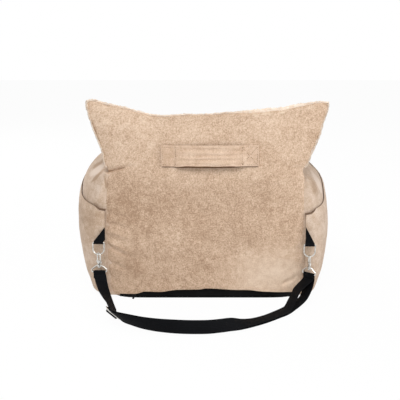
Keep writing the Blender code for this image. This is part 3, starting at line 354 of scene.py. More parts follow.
# Where a suede's three tones lie on its sum of noises
TONE_PLACES = (0.36, 0.50, 0.64)
RIB_PITCH = 0.0020
LINE_PITCH = 0.0030


def new_paint(name, roughness, metallic=0.0, sheen=0.0):
    made = bpy.data.materials.new(name)
    made.use_nodes = True
    shader = made.node_tree.nodes["Principled BSDF"]
    shader.inputs["Roughness"].default_value = roughness
    shader.inputs["Metallic"].default_value = metallic
    shader.inputs["Sheen Weight"].default_value = sheen
    shader.inputs["Sheen Roughness"].default_value = 0.45
    if not metallic:
        shader.inputs["Specular IOR Level"].default_value = 0.18
    return made


def add_node(made, kind, inputs=None, **settings):
    item = made.node_tree.nodes.new("ShaderNode" + kind)
    for key, value in settings.items():
        setattr(item, key, value)
    for key, value in (inputs or {}).items():
        if isinstance(value, bpy.types.NodeSocket):
            made.node_tree.links.new(value, item.inputs[key])
        else:
            item.inputs[key].default_value = value
    return item


def coordinates(made, kind="Object"):
    return add_node(made, "TexCoord").outputs[kind]


def math_node(made, operation, *values):
    """The result of one Math node."""
    return add_node(made, "Math", dict(enumerate(values)), operation=operation).outputs[0]


def noise_value(made, size, detail, rough):
    """Noise whose bumps are about as wide as size."""
    settings = {"Vector": coordinates(made), "Scale": 1 / size, "Detail": detail, "Roughness": rough}
    return add_node(made, "TexNoise", settings).outputs["Fac"]


def blend_values(made, parts):
    """The sum of (value, share) parts."""
    total = None
    for value, share in parts:
        step = math_node(made, "MULTIPLY", value, share)
        total = step if total is None else math_node(made, "ADD", total, step)
    return total


def ramp(made, value, stops):
    """Colours along a value: (place, colour) stops."""
    item = add_node(made, "ValToRGB", {"Fac": value})
    band = item.color_ramp
    while len(band.elements) < len(stops):
        band.elements.new(0.5)
    for element, (place, colour) in zip(band.elements, stops):
        element.position = place
        element.color = (*colour, 1.0)
    return item.outputs["Color"]


def grey_ramp(made, value, low, high, dark, light):
    return ramp(made, value, ((low, (dark,) * 3), (high, (light,) * 3)))


def finish_paint(made, colour, height, depth, strength):
    """Joins a colour and a bump of a real depth to the shader."""
    shader = made.node_tree.nodes["Principled BSDF"]
    bump = add_node(made, "Bump", {"Height": height, "Distance": depth, "Strength": strength})
    made.node_tree.links.new(colour, shader.inputs["Base Color"])
    made.node_tree.links.new(bump.outputs[0], shader.inputs["Normal"])
    return made


def hue(red, green, blue):
    """A colour as a screen shows it, from 0 to 255, as the linear light that shaders use."""
    made = []
    for value in (red, green, blue):
        share = value / 255
        made.append(share / 12.92 if share <= 0.04045 else ((share + 0.055) / 1.055) ** 2.4)
    return tuple(made)


def ellipsoid_spot(made, x, z, wide, high, turn=0.0, y=0.0, deep=1000.0):
    """A soft spot in the paint, an ellipsoid turned about Y: 1 at its middle, 0 at its rim; mostly painted
    light and shade.
    """
    settings = {"Vector": coordinates(made), "Location": (x, y, z), "Rotation": (0, turn, 0),
                "Scale": (wide, deep, high)}
    place = add_node(made, "Mapping", settings, vector_type="TEXTURE").outputs[0]
    cone = add_node(made, "TexGradient", {"Vector": place}, gradient_type="SPHERICAL").outputs["Fac"]
    return add_node(made, "MapRange", {"Value": cone}, interpolation_type="SMOOTHSTEP").outputs[0]


def suede_paint(name, tones, slow, patch, speck, spots, calm=()):
    """Brushed suede: slow patches where the nap lies differently, fine specks, fewer where calm, and spots
    painted lighter or darker, most of them painted light and shade.
    """
    made = new_paint(name, 0.92, sheen=0.08)
    cloud = noise_value(made, 0.050, 2.0, 0.55)
    blotch = noise_value(made, 0.012, 3.0, 0.6)
    dots = noise_value(made, 0.0030, 2.0, 0.8)
    fine = noise_value(made, 0.0013, 1.0, 0.5)
    for x, z, wide, high, share in calm:
        flat = math_node(made, "MULTIPLY", ellipsoid_spot(made, x, z, wide, high), share)
        away = math_node(made, "SUBTRACT", 0.5, dots)
        dots = math_node(made, "MULTIPLY_ADD", away, flat, dots)
    parts = [(cloud, slow), (blotch, patch), (dots, speck), (fine, 1 - slow - patch - speck)]
    # Spots painted lighter or darker: on the panel and the arms these are painted light and shade.
    for x, z, wide, high, shift, *more in spots:
        parts.append((ellipsoid_spot(made, x, z, wide, high, *more), shift))
    colour = ramp(made, blend_values(made, parts), tuple(zip(TONE_PLACES, tones)))
    height = blend_values(made, ((blotch, 0.3), (dots, 0.5), (fine, 0.2)))
    return finish_paint(made, colour, height, 0.0011, 0.55)


def wave_value(made, place, pitch, direction, **more):
    """Threads a pitch apart, across one direction."""
    settings = {"Vector": place, "Scale": 1 / pitch / 3.14}
    settings.update((key.replace("_", " "), value) for key, value in more.items())
    return add_node(made, "TexWave", settings, bands_direction=direction).outputs["Fac"]


def weave_paint(name, base, light, pitch, roughness):
    """Woven cloth with threads both ways, in object space."""
    made = new_paint(name, roughness)
    place = coordinates(made)
    threads = [wave_value(made, place, pitch, way, Distortion=0.3) for way in "XZ"]
    dust = noise_value(made, 0.006, 3.0, 0.6)
    height = blend_values(made, [(thread, 0.5) for thread in threads])
    value = blend_values(made, ((height, 0.5), (dust, 0.5)))
    return finish_paint(made, ramp(made, value, ((0.3, base), (0.75, light))), height, 0.0004, 0.6)


def webbing_paint():
    """Black webbing: ribs across it and lines along it, on its own UV in metres."""
    made = new_paint("webbing_look", 0.7)
    place = coordinates(made, "UV")
    ribs = wave_value(made, place, RIB_PITCH, "Y", Distortion=0.4, Detail=1.0, Detail_Scale=4.0)
    lines = wave_value(made, place, LINE_PITCH, "X")
    fuzz = noise_value(made, 0.004, 3.0, 0.6)
    height = blend_values(made, ((ribs, 0.5), (lines, 0.5)))
    value = blend_values(made, ((height, 0.45), (fuzz, 0.55)))
    colour = ramp(made, value, ((0.30, hue(1, 1, 3)), (0.55, hue(4, 5, 8)), (0.80, hue(14, 16, 20))))
    made.node_tree.nodes["Principled BSDF"].inputs["Specular IOR Level"].default_value = 0.10
    return finish_paint(made, colour, height, 0.0005, 0.7)


def metal_paint():
    made = new_paint("nickel_look", 0.20, metallic=1.0)
    wear = noise_value(made, 0.004, 4.0, 0.6)
    colour = ramp(made, wear, ((0.3, hue(186, 182, 176)), (0.7, hue(228, 226, 221))))
    rough = grey_ramp(made, noise_value(made, 0.0012, 3.0, 0.7), 0.3, 0.8, 0.14, 0.34)
    shader = made.node_tree.nodes["Principled BSDF"]
    made.node_tree.links.new(rough, shader.inputs["Roughness"])
    return finish_paint(made, colour, wear, 0.0002, 0.3)


def plain_paint(name, dark, light, roughness, size=0.004, depth=0.0003, sheen=0.0):
    """A fine grain between two tones, its grains about as wide as size."""
    made = new_paint(name, roughness, sheen=sheen)
    grain = noise_value(made, size, 3.0, 0.6)
    return finish_paint(made, ramp(made, grain, ((0.3, dark), (0.7, light))), grain, depth, 0.6)


# Where the cloth is painted lighter or darker: x, z, half width, half height, shift in tone, and for a
# slanted or local spot its turn, its place in depth and its half depth. A calm spot's last value is how
# much of the specks it takes away.
# The panel's spots are painted light and shade: lighter at the top and the lower right, darker over the
# middle and the left, and thin painted shade at the left crease's outer end, along the left seam and along
# the ears' edges.
PANEL_LIGHT_AND_SHADE = ((-0.155, 0.195, 0.13, 0.11, -0.085), (-0.150, 0.065, 0.13, 0.10, -0.060),
             (0.020, 0.170, 0.20, 0.14, -0.050), (0.150, 0.180, 0.11, 0.11, -0.025),
             (0.140, 0.045, 0.14, 0.09, 0.100), (-0.190, 0.360, 0.13, 0.09, 0.035),
             (0.050, 0.360, 0.24, 0.08, 0.012), (-0.010, 0.055, 0.10, 0.07, -0.040),
             (-0.2225, 0.342, 0.0080, 0.064, -0.20, -0.323), (0.218, 0.330, 0.020, 0.034, -0.07, 0.35),
             (-0.1985, 0.2655, 0.012, 0.0034, -0.30, -0.30),
             (-0.2015, 0.2440, 0.0032, 0.018, -0.30, -0.09))
CALM_SPOTS = ((0.150, 0.050, 0.17, 0.11, 0.8), (-0.180, 0.080, 0.10, 0.13, 0.45),
              (-0.230, 0.300, 0.06, 0.05, 0.4))
# The arms' spots are painted light and shade: painted highlights on the ridges of the folds, painted shade
# in their creases and along the left seam, and one broad patch on each arm, darker on the left and lighter
# on the right.
ARM_SPOTS = ((-0.2290, 0.2605, 0.030, 0.0085, 0.30, -0.62, -0.21, 0.10),
             (-0.2300, 0.2680, 0.028, 0.0050, -0.34, -0.55, -0.21, 0.10),
             (-0.2245, 0.2510, 0.026, 0.0042, -0.32, -0.78, -0.21, 0.10),
             (-0.2030, 0.2430, 0.0036, 0.018, -0.34, -0.09, -0.23, 0.06),
             (-0.2400, 0.1650, 0.0450, 0.085, -0.10, 0.0, -0.21, 0.12),
             (0.2380, 0.2350, 0.0080, 0.052, 0.40, -0.50, -0.21, 0.10),
             (0.2230, 0.2290, 0.0130, 0.030, -0.16, -0.40, -0.21, 0.10),
             (0.2450, 0.1700, 0.0450, 0.110, 0.05, 0.0, -0.21, 0.12))
BAND_SPOTS = ((-0.0740, 0.3000, 0.028, 0.040, -0.08),)
PANEL_TONES = (hue(167, 137, 112), hue(206, 178, 153), hue(230, 208, 186))
ARM_TONES = (hue(177, 150, 126), hue(202, 178, 156), hue(223, 204, 188))
BAND_TONES = (hue(190, 160, 134), hue(212, 184, 160), hue(229, 206, 184))
SPECKLED = suede_paint("speckled_suede_look", PANEL_TONES, 0.14, 0.22, 0.42, PANEL_LIGHT_AND_SHADE, CALM_SPOTS)
SUEDE = suede_paint("suede_look", ARM_TONES, 0.24, 0.30, 0.16, ARM_SPOTS)
BAND_SUEDE = suede_paint("band_suede_look", BAND_TONES, 0.14, 0.28, 0.22, BAND_SPOTS)
PLUSH_LOOK = plain_paint("plush_look", hue(242, 222, 200), hue(254, 245, 232), 0.95, 0.006, sheen=0.2)
FUZZ_LOOK = plain_paint("fuzz_look", hue(244, 222, 200), hue(255, 244, 230), 0.95, 0.005, sheen=0.3)
PLUSH_ROOT = plain_paint("plush_root_look", hue(208, 184, 160), hue(232, 212, 190), 0.95, 0.004,
                         depth=0.002, sheen=0.2)
BLACK_CLOTH = weave_paint("black_cloth_look", hue(7, 7, 7), hue(20, 20, 22), 0.0008, 0.85)
WEBBING_LOOK = webbing_paint()
NICKEL = metal_paint()
BOARD_LOOK = plain_paint("board_look", hue(112, 104, 94), hue(142, 133, 120), 0.7)
# The dark colour of the painted shade in the pockets' mouths.
RIM_SHADE = plain_paint("rim_shade_look", hue(104, 82, 66), hue(134, 110, 92), 0.95, 0.003)
# The dark colour of the painted shadow under the band's lower edge.
HEM_SHADE = plain_paint("hem_shade_look", hue(78, 54, 38), hue(108, 80, 60), 0.95, 0.004)
BROWN_THREAD = plain_paint("brown_thread_look", hue(128, 100, 76), hue(164, 135, 110), 0.8, 0.002)
BLACK_METAL = plain_paint("black_metal_look", hue(20, 20, 21), hue(34, 34, 36), 0.35, 0.002)
BLACK_THREAD = plain_paint("black_thread_look", hue(16, 16, 16), hue(30, 30, 31), 0.8, 0.002)


# Meshes

# Edges sharper than this, in degrees, stay sharp in the shading
CREASE = 60
WEBBING_CREASE = 50
NO_CREASE = 180
# How much of each step a stitch fills
STITCH_SHARE = 0.72
# How finely the larger pieces are made
ARM_RINGS = 70
ARM_POINTS = 78
POCKET_RINGS = 64
POCKET_ROWS = 40
PANEL_ROWS = 150
PANEL_COLUMNS = 140
PILLOW_COLUMNS = 90
ROLL_RINGS = 420
BAND_COLUMNS = 90
BAND_ROWS = 40


def add(name, verts, faces, paint, crease=CREASE, uvs=None, face_paints=None):
    mesh = bpy.data.meshes.new(name)
    mesh.from_pydata([tuple(v) for v in verts], [], faces)
    for item in paint if isinstance(paint, (list, tuple)) else (paint,):
        mesh.materials.append(item)
    if face_paints:
        mesh.polygons.foreach_set("material_index", face_paints)
    if uvs:
        layer = mesh.uv_layers.new(name="weave")
        for loop in mesh.loops:
            layer.data[loop.index].uv = uvs[loop.vertex_index]
    work = bmesh.new()
    work.from_mesh(mesh)
    bmesh.ops.recalc_face_normals(work, faces=work.faces)
    work.to_mesh(mesh)
    work.free()
    mesh.shade_smooth()
    mesh.set_sharp_from_angle(angle=math.radians(crease))
    item = bpy.data.objects.new(name, mesh)
    bpy.context.scene.collection.objects.link(item)
    return item


def grid_faces(rows, columns, start=0, closed=False):
    faces = []
    for i in range(rows - 1):
        for j in range(columns if closed else columns - 1):
            k = (j + 1) % columns
            a, b = start + i * columns, start + (i + 1) * columns
            faces.append((a + j, a + k, b + k, b + j))
    return faces


def loft_faces(rings, size, start=0):
    """The faces of a closed body through rings of points, with a flat face at each end."""
    last = start + (rings - 1) * size
    faces = grid_faces(rings, size, start, closed=True)
    faces.append(tuple(range(start, start + size)))
    faces.append(tuple(range(last + size - 1, last - 1, -1)))
    return faces


def plate(name, outer, inner, paint, crease=CREASE):
    """A closed sheet between two grids of points."""
    rows, columns = len(outer), len(outer[0])
    verts = [p for row in outer for p in row] + [p for row in inner for p in row]
    shift = rows * columns
    faces = grid_faces(rows, columns) + grid_faces(rows, columns, shift)
    rim = list(range(columns))
    rim += [i * columns + columns - 1 for i in range(1, rows)]
    rim += [(rows - 1) * columns + j for j in range(columns - 2, -1, -1)]
    rim += [i * columns for i in range(rows - 2, 0, -1)]
    for a, b in zip(rim, rim[1:] + rim[:1]):
        faces.append((a, b, b + shift, a + shift))
    return add(name, verts, faces, paint, crease)


def loft(name, rings, paint, crease=CREASE, uvs=None):
    """A closed body through rings of points, with flat ends."""
    faces = loft_faces(len(rings), len(rings[0]))
    return add(name, [p for ring in rings for p in ring], faces, paint, crease, uvs)


def ribbon(name, stations):
    """Webbing through (centre, way across) stations, its edges rounded, with UVs in metres."""
    rings, uvs, length = [], [], 0.0
    half, edge = WEBBING / 2, WEBBING_WIDTH / 2
    flat = [(-edge, 0.0), (-edge + half * 0.35, half * 0.75), (-edge + half * 1.2, half)]
    outline = flat + [(0.0, half)] + [(-w, h) for w, h in reversed(flat)]
    outline += [(w, -h) for w, h in reversed(outline[1:-1])]
    for k, (centre, across) in enumerate(stations):
        along = stations[min(k + 1, len(stations) - 1)][0] - stations[max(k - 1, 0)][0]
        across = across.normalized()
        normal = along.cross(across).normalized()
        if k:
            length += (centre - stations[k - 1][0]).length
        rings.append([centre + across * w + normal * h for w, h in outline])
        uvs += [(w + edge, length) for w, h in outline]
    return loft(name, rings, WEBBING_LOOK, WEBBING_CREASE, uvs)


def tube(name, path, radii, paint, sides=8):
    """Round cord along a path, with a radius at each point."""
    rings = []
    count = len(path)
    for k, point in enumerate(path):
        along = (path[min(k + 1, count - 1)] - path[max(k - 1, 0)]).normalized()
        side = along.cross(Vector((0, 0, 1)))
        side = (side if side.length > 0.2 else along.cross(Vector((1, 0, 0)))).normalized()
        up = side.cross(along)
        r = radii[k]
        rings.append([point + r * (math.cos(t) * side + math.sin(t) * up)
                      for t in [2 * math.pi * s / sides for s in range(sides)]])
    return loft(name, rings, paint)


def tufts(name, strands, paint):
    """Many pointed strands: (root, way, length, width) each."""
    verts, faces = [], []
    for root, way, length, width in strands:
        way = way.normalized()
        side = way.cross(Vector((0.3, 0.2, 0.93)))
        side = (side if side.length > 0.05 else way.cross(Vector((1, 0, 0)))).normalized() * width / 2
        other = way.cross(side).normalized() * width / 2
        start = len(verts)
        middle = root + way * length * 0.55
        bend = Vector((0, 0, -0.12 * length))
        for centre, near, off, aside in ((root, 1, 0.5, 0.87), (middle, 0.7, 0.35, 0.6)):
            far = centre - side * off
            verts += [centre + side * near, far + other * aside, far - other * aside]
        verts.append(root + way * length + bend)
        for a, b in ((0, 1), (1, 2), (2, 0)):
            faces.append((start + a, start + b, start + b + 3, start + a + 3))
            faces.append((start + a + 3, start + b + 3, start + 6))
        faces.append((start + 2, start + 1, start))
    return add(name, verts, faces, paint, NO_CREASE)


def stitches(name, lines, paint, radius=0.00035, step=0.0030):
    """Thread laid on a surface in short stitches along lines of points."""
    verts, faces = [], []
    for line in lines:
        run = 0.0
        for a, b in zip(line, line[1:]):
            length = (b - a).length
            way = (b - a) / length
            side = way.cross(Vector((0, 1, 0)))
            side = (side if side.length > 0.1 else way.cross(Vector((0, 0, 1)))).normalized()
            up = side.cross(way)
            while run < length:
                start = len(verts)
                p0, p1 = a + way * run, a + way * min(run + step * STITCH_SHARE, length)
                for place, size in ((p0, 0.5), (p0.lerp(p1, 0.25), 1), (p0.lerp(p1, 0.75), 1), (p1, 0.5)):
                    verts += [place + radius * size * (math.cos(t) * side + math.sin(t) * up)
                              for t in [math.pi / 3 * s for s in range(6)]]
                faces += loft_faces(4, 6, start)
                run += step
            run -= length
    return add(name, verts, faces, paint, NO_CREASE)


def ride(item, body, replaced=()):
    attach(item, body)
    if replaced:
        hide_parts(*replaced)
    return item


# The tub's shapes

def half_panel(height):
    return PANEL_WIDTH / 2 * smooth_table(PANEL_EDGE_SHARES, height / SEAT_HEIGHT)


def plan(angle):
    """The tub's plan at an angle: how far forward, and the share of the arm's bulge."""
    y = SEAM_Y * math.copysign(abs(math.sin(angle)) ** CORNER_SHARE, math.sin(angle))
    return y, max(0.0, math.cos(angle)) ** CORNER_SHARE


def arm_crest(y, side):
    return ARM_HEIGHT * ARM_RISE[side] * smooth_table(ARM_CREST_SHARES, (y + SEAM_Y) / (2 * SEAM_Y))


ARM_CURVE = [Vector(p) for p in ARM_OUTLINE_SHARES]
OUTER_TABLE = [(b, a) for a, b in reversed(ARM_OUTLINE_SHARES[ARM_CREST_POINT:])]
# The pocket's mouth: how far it is open, how much further by the back, and how soon it closes
POCKET_MOUTH = 0.0006
POCKET_NOTCH = 0.0030
NOTCH_SPREAD = 0.012
MOUTH_FADE = 9
# The wave along the pocket's rim, and the small puckers by the seam
RIM_WAVE = 0.0012
RIM_WAVE_RATE = 70
PUCKER = 0.0012
PUCKER_RATE = 150
# How each stuffed arm differs from its solid: how far it swells, how high it is, and how much
# fuller it is near one height
ARM_SWELL = {-1: 1.155, 1: 1.01}
ARM_RISE = {-1: 1.014, 1: 0.95}
ARM_FULLER = {-1: 0.0072, 1: 0.0085}
FULLEST = {-1: 0.238, 1: 0.234}
FULL_SPREAD = 0.026


def arm_relief(point, side, bulge):
    """How far an arm's cloth stands out from the plain shape, at a point."""
    raised = uneven(point, "arm_left" if side < 0 else "arm_right")
    folds = ARM_FOLDS_LEFT if side < 0 else ARM_FOLDS_RIGHT
    near = smoothstep(0.0, -0.20, point.y)
    puckers = math.sin(point.z * PUCKER_RATE + 3 * lumps(point, 0.05, 5)) * PUCKER
    raised += puckers * smoothstep(-0.14, -0.225, point.y)
    raised *= min(1.0, bulge * 1.6)
    raised -= fold_depth(folds, point.x, point.z) * near * min(1.0, bulge * 4)
    return raised * smoothstep(0.004, 0.03, point.z)


def arm_point(angle, share, side, away=0.0):
    """A point on an arm, for a place round the plan and a point of the outline."""
    y, bulge = plan(angle)
    height = ARM_FOOT + share[1] * (arm_crest(y, side) + away - ARM_FOOT)
    x = CAVITY_WIDTH / 2 - away + share[0] * (ARM_THICKNESS + 2 * away)
    seam = half_panel(height) + away
    if x > seam:
        fuller = ARM_FULLER[side] * hill(height, FULLEST[side], FULL_SPREAD)
        x = seam + ((x - seam) * ARM_SWELL[side] + fuller) * bulge
    point = Vector((side * x, y * (1 + away / SEAM_Y), height))
    middle = Vector((side * (CAVITY_WIDTH + ARM_THICKNESS) / 2, point.y, ARM_HEIGHT * 0.45))
    out = (point - middle).normalized()
    if share[0] < 0.02:
        out = Vector((-side, 0, 0)) * 0.5
    rear = abs(y / SEAM_Y) ** 3 * smoothstep(0.15, 0.19, height)
    out = out.lerp(Vector((0, math.copysign(1, y), 0)), rear)
    return point + out * arm_relief(point, side, bulge)


def fine_angles(count):
    return [math.radians(-90 + 180 * k / count) for k in range(count + 1)]


def make_arm(name, side):
    """A bolster: its outline swept round the plan, stuffed and lumpy."""
    curve = [curve_point(ARM_CURVE, p) for p in spread(0.0, len(ARM_CURVE) - 1.0, ARM_POINTS)]
    rings = [[arm_point(a, share, side) for share in curve] for a in fine_angles(ARM_RINGS)]
    item = loft("bolster_" + name, rings, SUEDE)
    ride(item, "seat", ("arm_cover_" + name, "arm_filling_" + name))
    return item


def pocket_line(angle, side, thick):
    """One line of a pocket's cloth, from its rim down to its foot."""
    y = plan(angle)[0]
    along = (y + SEAM_Y) / (2 * SEAM_Y)
    rim = ARM_HEIGHT * smooth_table(POCKET_RIM_SHARES[side], along)
    rim += RIM_WAVE * math.sin(along * RIM_WAVE_RATE) * math.sin(math.pi * along)
    notch = POCKET_NOTCH * hill(along, 0.0, NOTCH_SPREAD)
    line = []
    for k in range(POCKET_ROWS + 1):
        height = lerp(rim, POCKET_FOOT, k / POCKET_ROWS)
        share = (height - ARM_FOOT) / (arm_crest(y, side) - ARM_FOOT)
        gap = (POCKET_MOUTH + notch) * math.exp(-(k / POCKET_ROWS * MOUTH_FADE))
        away = POCKET_STAND * smoothstep(-2, 3, k) + thick * smoothstep(-2, 4, k)
        point = arm_point(angle, (smooth_table(OUTER_TABLE, share), share), side, away + gap)
        edge = half_panel(point.z) + FIT
        point.x = side * max(side * point.x, edge)
        line.append(point)
    return line


def make_pocket(name, side):
    """The flat outer pocket round an arm, its mouth a little open, with a dark tube of painted shade along
    it.
    """
    angles = fine_angles(POCKET_RINGS)
    outer = [pocket_line(a, side, POCKET_CLOTH) for a in angles]
    inner = [pocket_line(a, side, 0.0) for a in angles]
    for grid in (outer, inner):
        for row in (grid[0], grid[-1]):
            for point in row:
                point.x = side * (half_panel(point.z) + FIT)
    item = plate("pocket_" + name, outer, inner, SUEDE)
    ride(item, "seat", ("side_pocket_" + name,))
    # A dark tube along the mouth is painted shade for the inside of the mouth; it is thicker by the seam
    # as painted shade in the notch there.
    path = [outer[k][0].lerp(inner[k][0], 0.7) + Vector((0, 0, 0.0003)) for k in range(len(outer) - 1)]
    path[0] += (path[0] - path[1]) * 0.2
    radii = [lerp(0.0022, 0.0006, smoothstep(0, 6, k)) for k in range(len(path))]
    edge = tube("pocket_mouth_shade_" + name, path, radii, RIM_SHADE)
    ride(edge, "seat")
    return item


# The back

def back_top(across):
    return SEAT_HEIGHT - BACK_TOP_SAG * (1 - abs(across) ** 1.7)


def back_foot(across):
    return HEM_HEIGHT + HEM_RISE * (1 - across * across)


def back_crown(across, up):
    rise = min(1.0, max(0.0, (up - 0.45) / 0.17))
    crown = BACK_CROWN_LOW + (BACK_CROWN_HIGH - BACK_CROWN_LOW) * rise
    if up > 0.86:
        crown *= max(0.0, 1 - ((up - 0.86) / 0.14) ** 2)
    return crown * (1 - across ** 4)


def back_lean(up):
    return BACK_LEAN * max(0.0, (up - BACK_STEP_SHARE) / (1 - BACK_STEP_SHARE))


def back_point(across, up):
    """The plain outer face of the rear cover, as the part has it."""
    height = back_foot(across) + up * (back_top(across) - back_foot(across))
    edge = HEM_HEIGHT + up * (SEAT_HEIGHT - HEM_HEIGHT)
    y = -SEAM_Y - FIT - CLOTH - back_crown(across, up) + back_lean(up)
    return Vector((across * half_panel(edge), y, height))


def shaped(point, up):
    """Moves a point of the back to where the photo's top edge and ears lie."""
    moved = point.copy()
    moved.x += EAR_SHIFT * smoothstep(0.27, 0.33, point.z)
    moved.x += EAR_TUCK * hill(point.z, 0.305, 0.035) * smoothstep(-0.19, -0.21, point.x)
    moved.z += smooth_table(TOP_WAVE, moved.x) * smoothstep(0.72, 1.0, up)
    tip = smoothstep(0.352, 0.376, moved.z) * smoothstep(0.412, 0.394, moved.z)
    moved.x += TIP_SWELL * tip * smoothstep(0.20, 0.24, moved.x)
    moved.x -= EAR_TRIM * hill(moved.z, 0.366, 0.016) * smoothstep(0.20, 0.23, moved.x)
    return moved


# Between these shares of the back's height its edges come free of the arms
ARMS_END = (0.655, 0.70)


def panel_point(across, up):
    """The suede's outer face: turned in at its edges, lumpy and folded."""
    point = shaped(back_point(across, up), up)
    hem = smooth_table(HEM_LINE, point.x)
    point.z += (hem - back_foot(across)) * smoothstep(0.25, 0.0, up)
    above = smoothstep(*ARMS_END, up)
    ragged = uneven(point, "panel_edge")
    inset = (EDGE_TURN_IN + ragged) * above
    point.x -= math.copysign(inset * abs(across) ** 8 + SEAM_GAP * (1 - above) * abs(across) ** 30, across)
    point.z -= (smooth_table(TOP_INSET, point.x) + 1.6 * ragged) * smoothstep(0.92, 1.0, up)
    raised = uneven(point, "panel")
    drawn = Vector((point.x * 0.35, point.y, point.z))
    raised += 0.0016 * lumps(drawn, 0.030, 34) * smoothstep(0.72, 0.3, up)
    raised -= fold_depth(PANEL_FOLDS, point.x, point.z)
    inner = 1 - abs(across) ** 14
    edge_roll = lerp(0.0046, 0.0018, above) * (1 - inner) + 0.0008 * smoothstep(0.975, 1.0, up)
    hem_roll = 0.0012 * smoothstep(0.02, 0.0, up)
    point.y += -raised * (0.25 + 0.75 * inner) + edge_roll + hem_roll
    return point


def across_shares(count):
    return [math.sin(math.pi * (k / count - 0.5)) for k in range(count + 1)]


def make_rear_panel():
    ups = [1 - (1 - u) ** 1.15 for u in spread(0.0, 1.0, PANEL_ROWS)]
    outer = [[panel_point(a, u) for a in across_shares(PANEL_COLUMNS)] for u in ups]
    inner = [[p + Vector((0, CLOTH, 0)) for p in row] for row in outer]
    item = plate("rear_panel", outer, inner, SPECKLED)
    ride(item, "seat", ("rear_cover",))
    return item


def front_face_point(across, up):
    rear = back_point(across, up)
    if up < BACK_STEP_SHARE:
        x = across * (CAVITY_WIDTH / 2 - FIT)
        y = BACK_FRONT_Y - PLUSH_CROWN * across * across
        return Vector((x, y, max(rear.z, CUSHION_FOOT)))
    swell = max(0.0, 1 - abs(across) ** 2.4)
    if up > 0.75:
        swell *= max(0.0, 1 - ((up - 0.75) / 0.25) ** 2) ** 0.5
    seam = -SEAM_Y + back_lean(up) + PLUSH
    y = seam + (BACK_FRONT_Y - seam) * swell
    return Vector((rear.x, y, rear.z))


def pillow_front(across, up):
    point = shaped(front_face_point(across, up), up)
    if up >= BACK_STEP_SHARE:
        point.x -= math.copysign(0.0022 * abs(across) ** 8, across)
    point.z -= 0.0022 * smoothstep(0.95, 1.0, up)
    inner = 1 - abs(across) ** 6
    point.y += uneven(point, "pillow") * inner - 0.003 * smoothstep(0.97, 1.0, up)
    return point


def make_pillow():
    """The stuffed back: the plush face that the dog leans on, round the side to the suede."""
    low = [BACK_STEP_SHARE * u for u in spread(0.03, 0.995, 44)]
    high = [lerp(BACK_STEP_SHARE, 1.0, u) for u in spread(0.004, 1.0, 60)]
    fronts = [[pillow_front(a, u) for a in across_shares(PILLOW_COLUMNS)] for u in low + high]
    rears = []
    for u, row in zip(low + high, fronts):
        line = []
        for a, p in zip(across_shares(PILLOW_COLUMNS), row):
            rear = panel_point(p.x / back_point(1, u).x if u < BACK_STEP_SHARE else a * 0.985, u)
            line.append(Vector((p.x, min(rear.y + CLOTH * 1.2, p.y - 0.002), p.z)))
        rears.append(line)
    item = plate("back_pillow", fronts, rears, PLUSH_ROOT)
    ride(item, "seat", ("back_plush", "back_filling"))
    return item


# Strands: how deep they root, how many, and the size of those on the back
STRAND_ROOT = 0.001
BACK_STRANDS = 11000
RIM_STRANDS = 9000
CUSHION_STRANDS = 9000
STRAND_LENGTH = 0.0075
STRAND_WIDTH = 0.0016


def plush_strands(dice, count, place, length, width, comb):
    """Strands over a surface: place(u, v) gives a point, and steps beside it give its way out."""
    made = []
    step = 0.004
    for _ in range(count):
        u, v = dice.random(), dice.random()
        point = place(u, v)
        du = place(min(1.0, u + step), v) - place(max(0.0, u - step), v)
        dv = place(u, min(1.0, v + step)) - place(u, max(0.0, v - step))
        out = du.cross(dv)
        if out.length < 1e-12:
            continue
        out.normalize()
        jitter = Vector((dice.uniform(-1, 1), dice.uniform(-1, 1), dice.uniform(-1, 1))) * 0.45
        clump = Vector((lumps(point, 0.012, 51), lumps(point, 0.012, 52), lumps(point, 0.012, 53))) * 0.8
        way = out + jitter + clump + comb
        long = length * dice.uniform(0.7, 1.25)
        wide = width * dice.uniform(0.7, 1.3)
        made.append((point - out * STRAND_ROOT, way, long, wide))
    return made


def make_pile():
    """The plush's pile on the front of the back."""
    dice = random.Random(11)

    def place(u, v):
        return pillow_front(math.sin(math.pi * (u - 0.5) * 0.97), lerp(0.24, 0.985, v))

    comb = Vector((0, 0.1, -0.35))
    strands = plush_strands(dice, BACK_STRANDS, place, STRAND_LENGTH, STRAND_WIDTH, comb)
    strands = [(root, Vector((way.x, abs(way.y), way.z)), *size) for root, way, *size in strands]
    item = tufts("back_pile", strands, PLUSH_LOOK)
    return ride(item, "seat")


# Shares of the back's upper outline: each side of it, its top, and how high up it starts
RIM_SIDE = 0.30
RIM_TOP = 0.40
RIM_START = 0.672


def rim_point(share):
    """A point on the back's upper outline, from the left arm over both ears to the right arm, and
    where it is: -1 or 1 for a side, 0 for the top."""
    if RIM_SIDE <= share <= RIM_SIDE + RIM_TOP:
        return shaped(back_point(lerp(-1, 1, (share - RIM_SIDE) / RIM_TOP), 1.0), 1.0), 0
    side = -1 if share < RIM_SIDE else 1
    up = lerp(RIM_START, 1.0, (share if side < 0 else 1 - share) / RIM_SIDE)
    return shaped(back_point(side, up), up), side


def roll_spot(share):
    """The middle of the plush roll along the suede's edge, its way out and its radius."""
    point, where = rim_point(share)
    along = rim_point(min(1.0, share + 0.002))[0] - rim_point(max(0.0, share - 0.002))[0]
    along.normalize()
    out = Vector((-along.z, 0, along.x))
    radius = SIDE_ROLL[where] if where else smooth_table(TOP_INSET, point.x) * 0.5 + 0.0003
    swell = 1 + 0.30 * lumps(point, 0.007, 63) + 0.12 * lumps(point, 0.003, 64)
    middle = point - out * radius * (0.9 + 0.35 * lumps(point, 0.009, 65))
    middle.y += 0.0026 + 0.2 * radius
    return middle, out, radius * swell


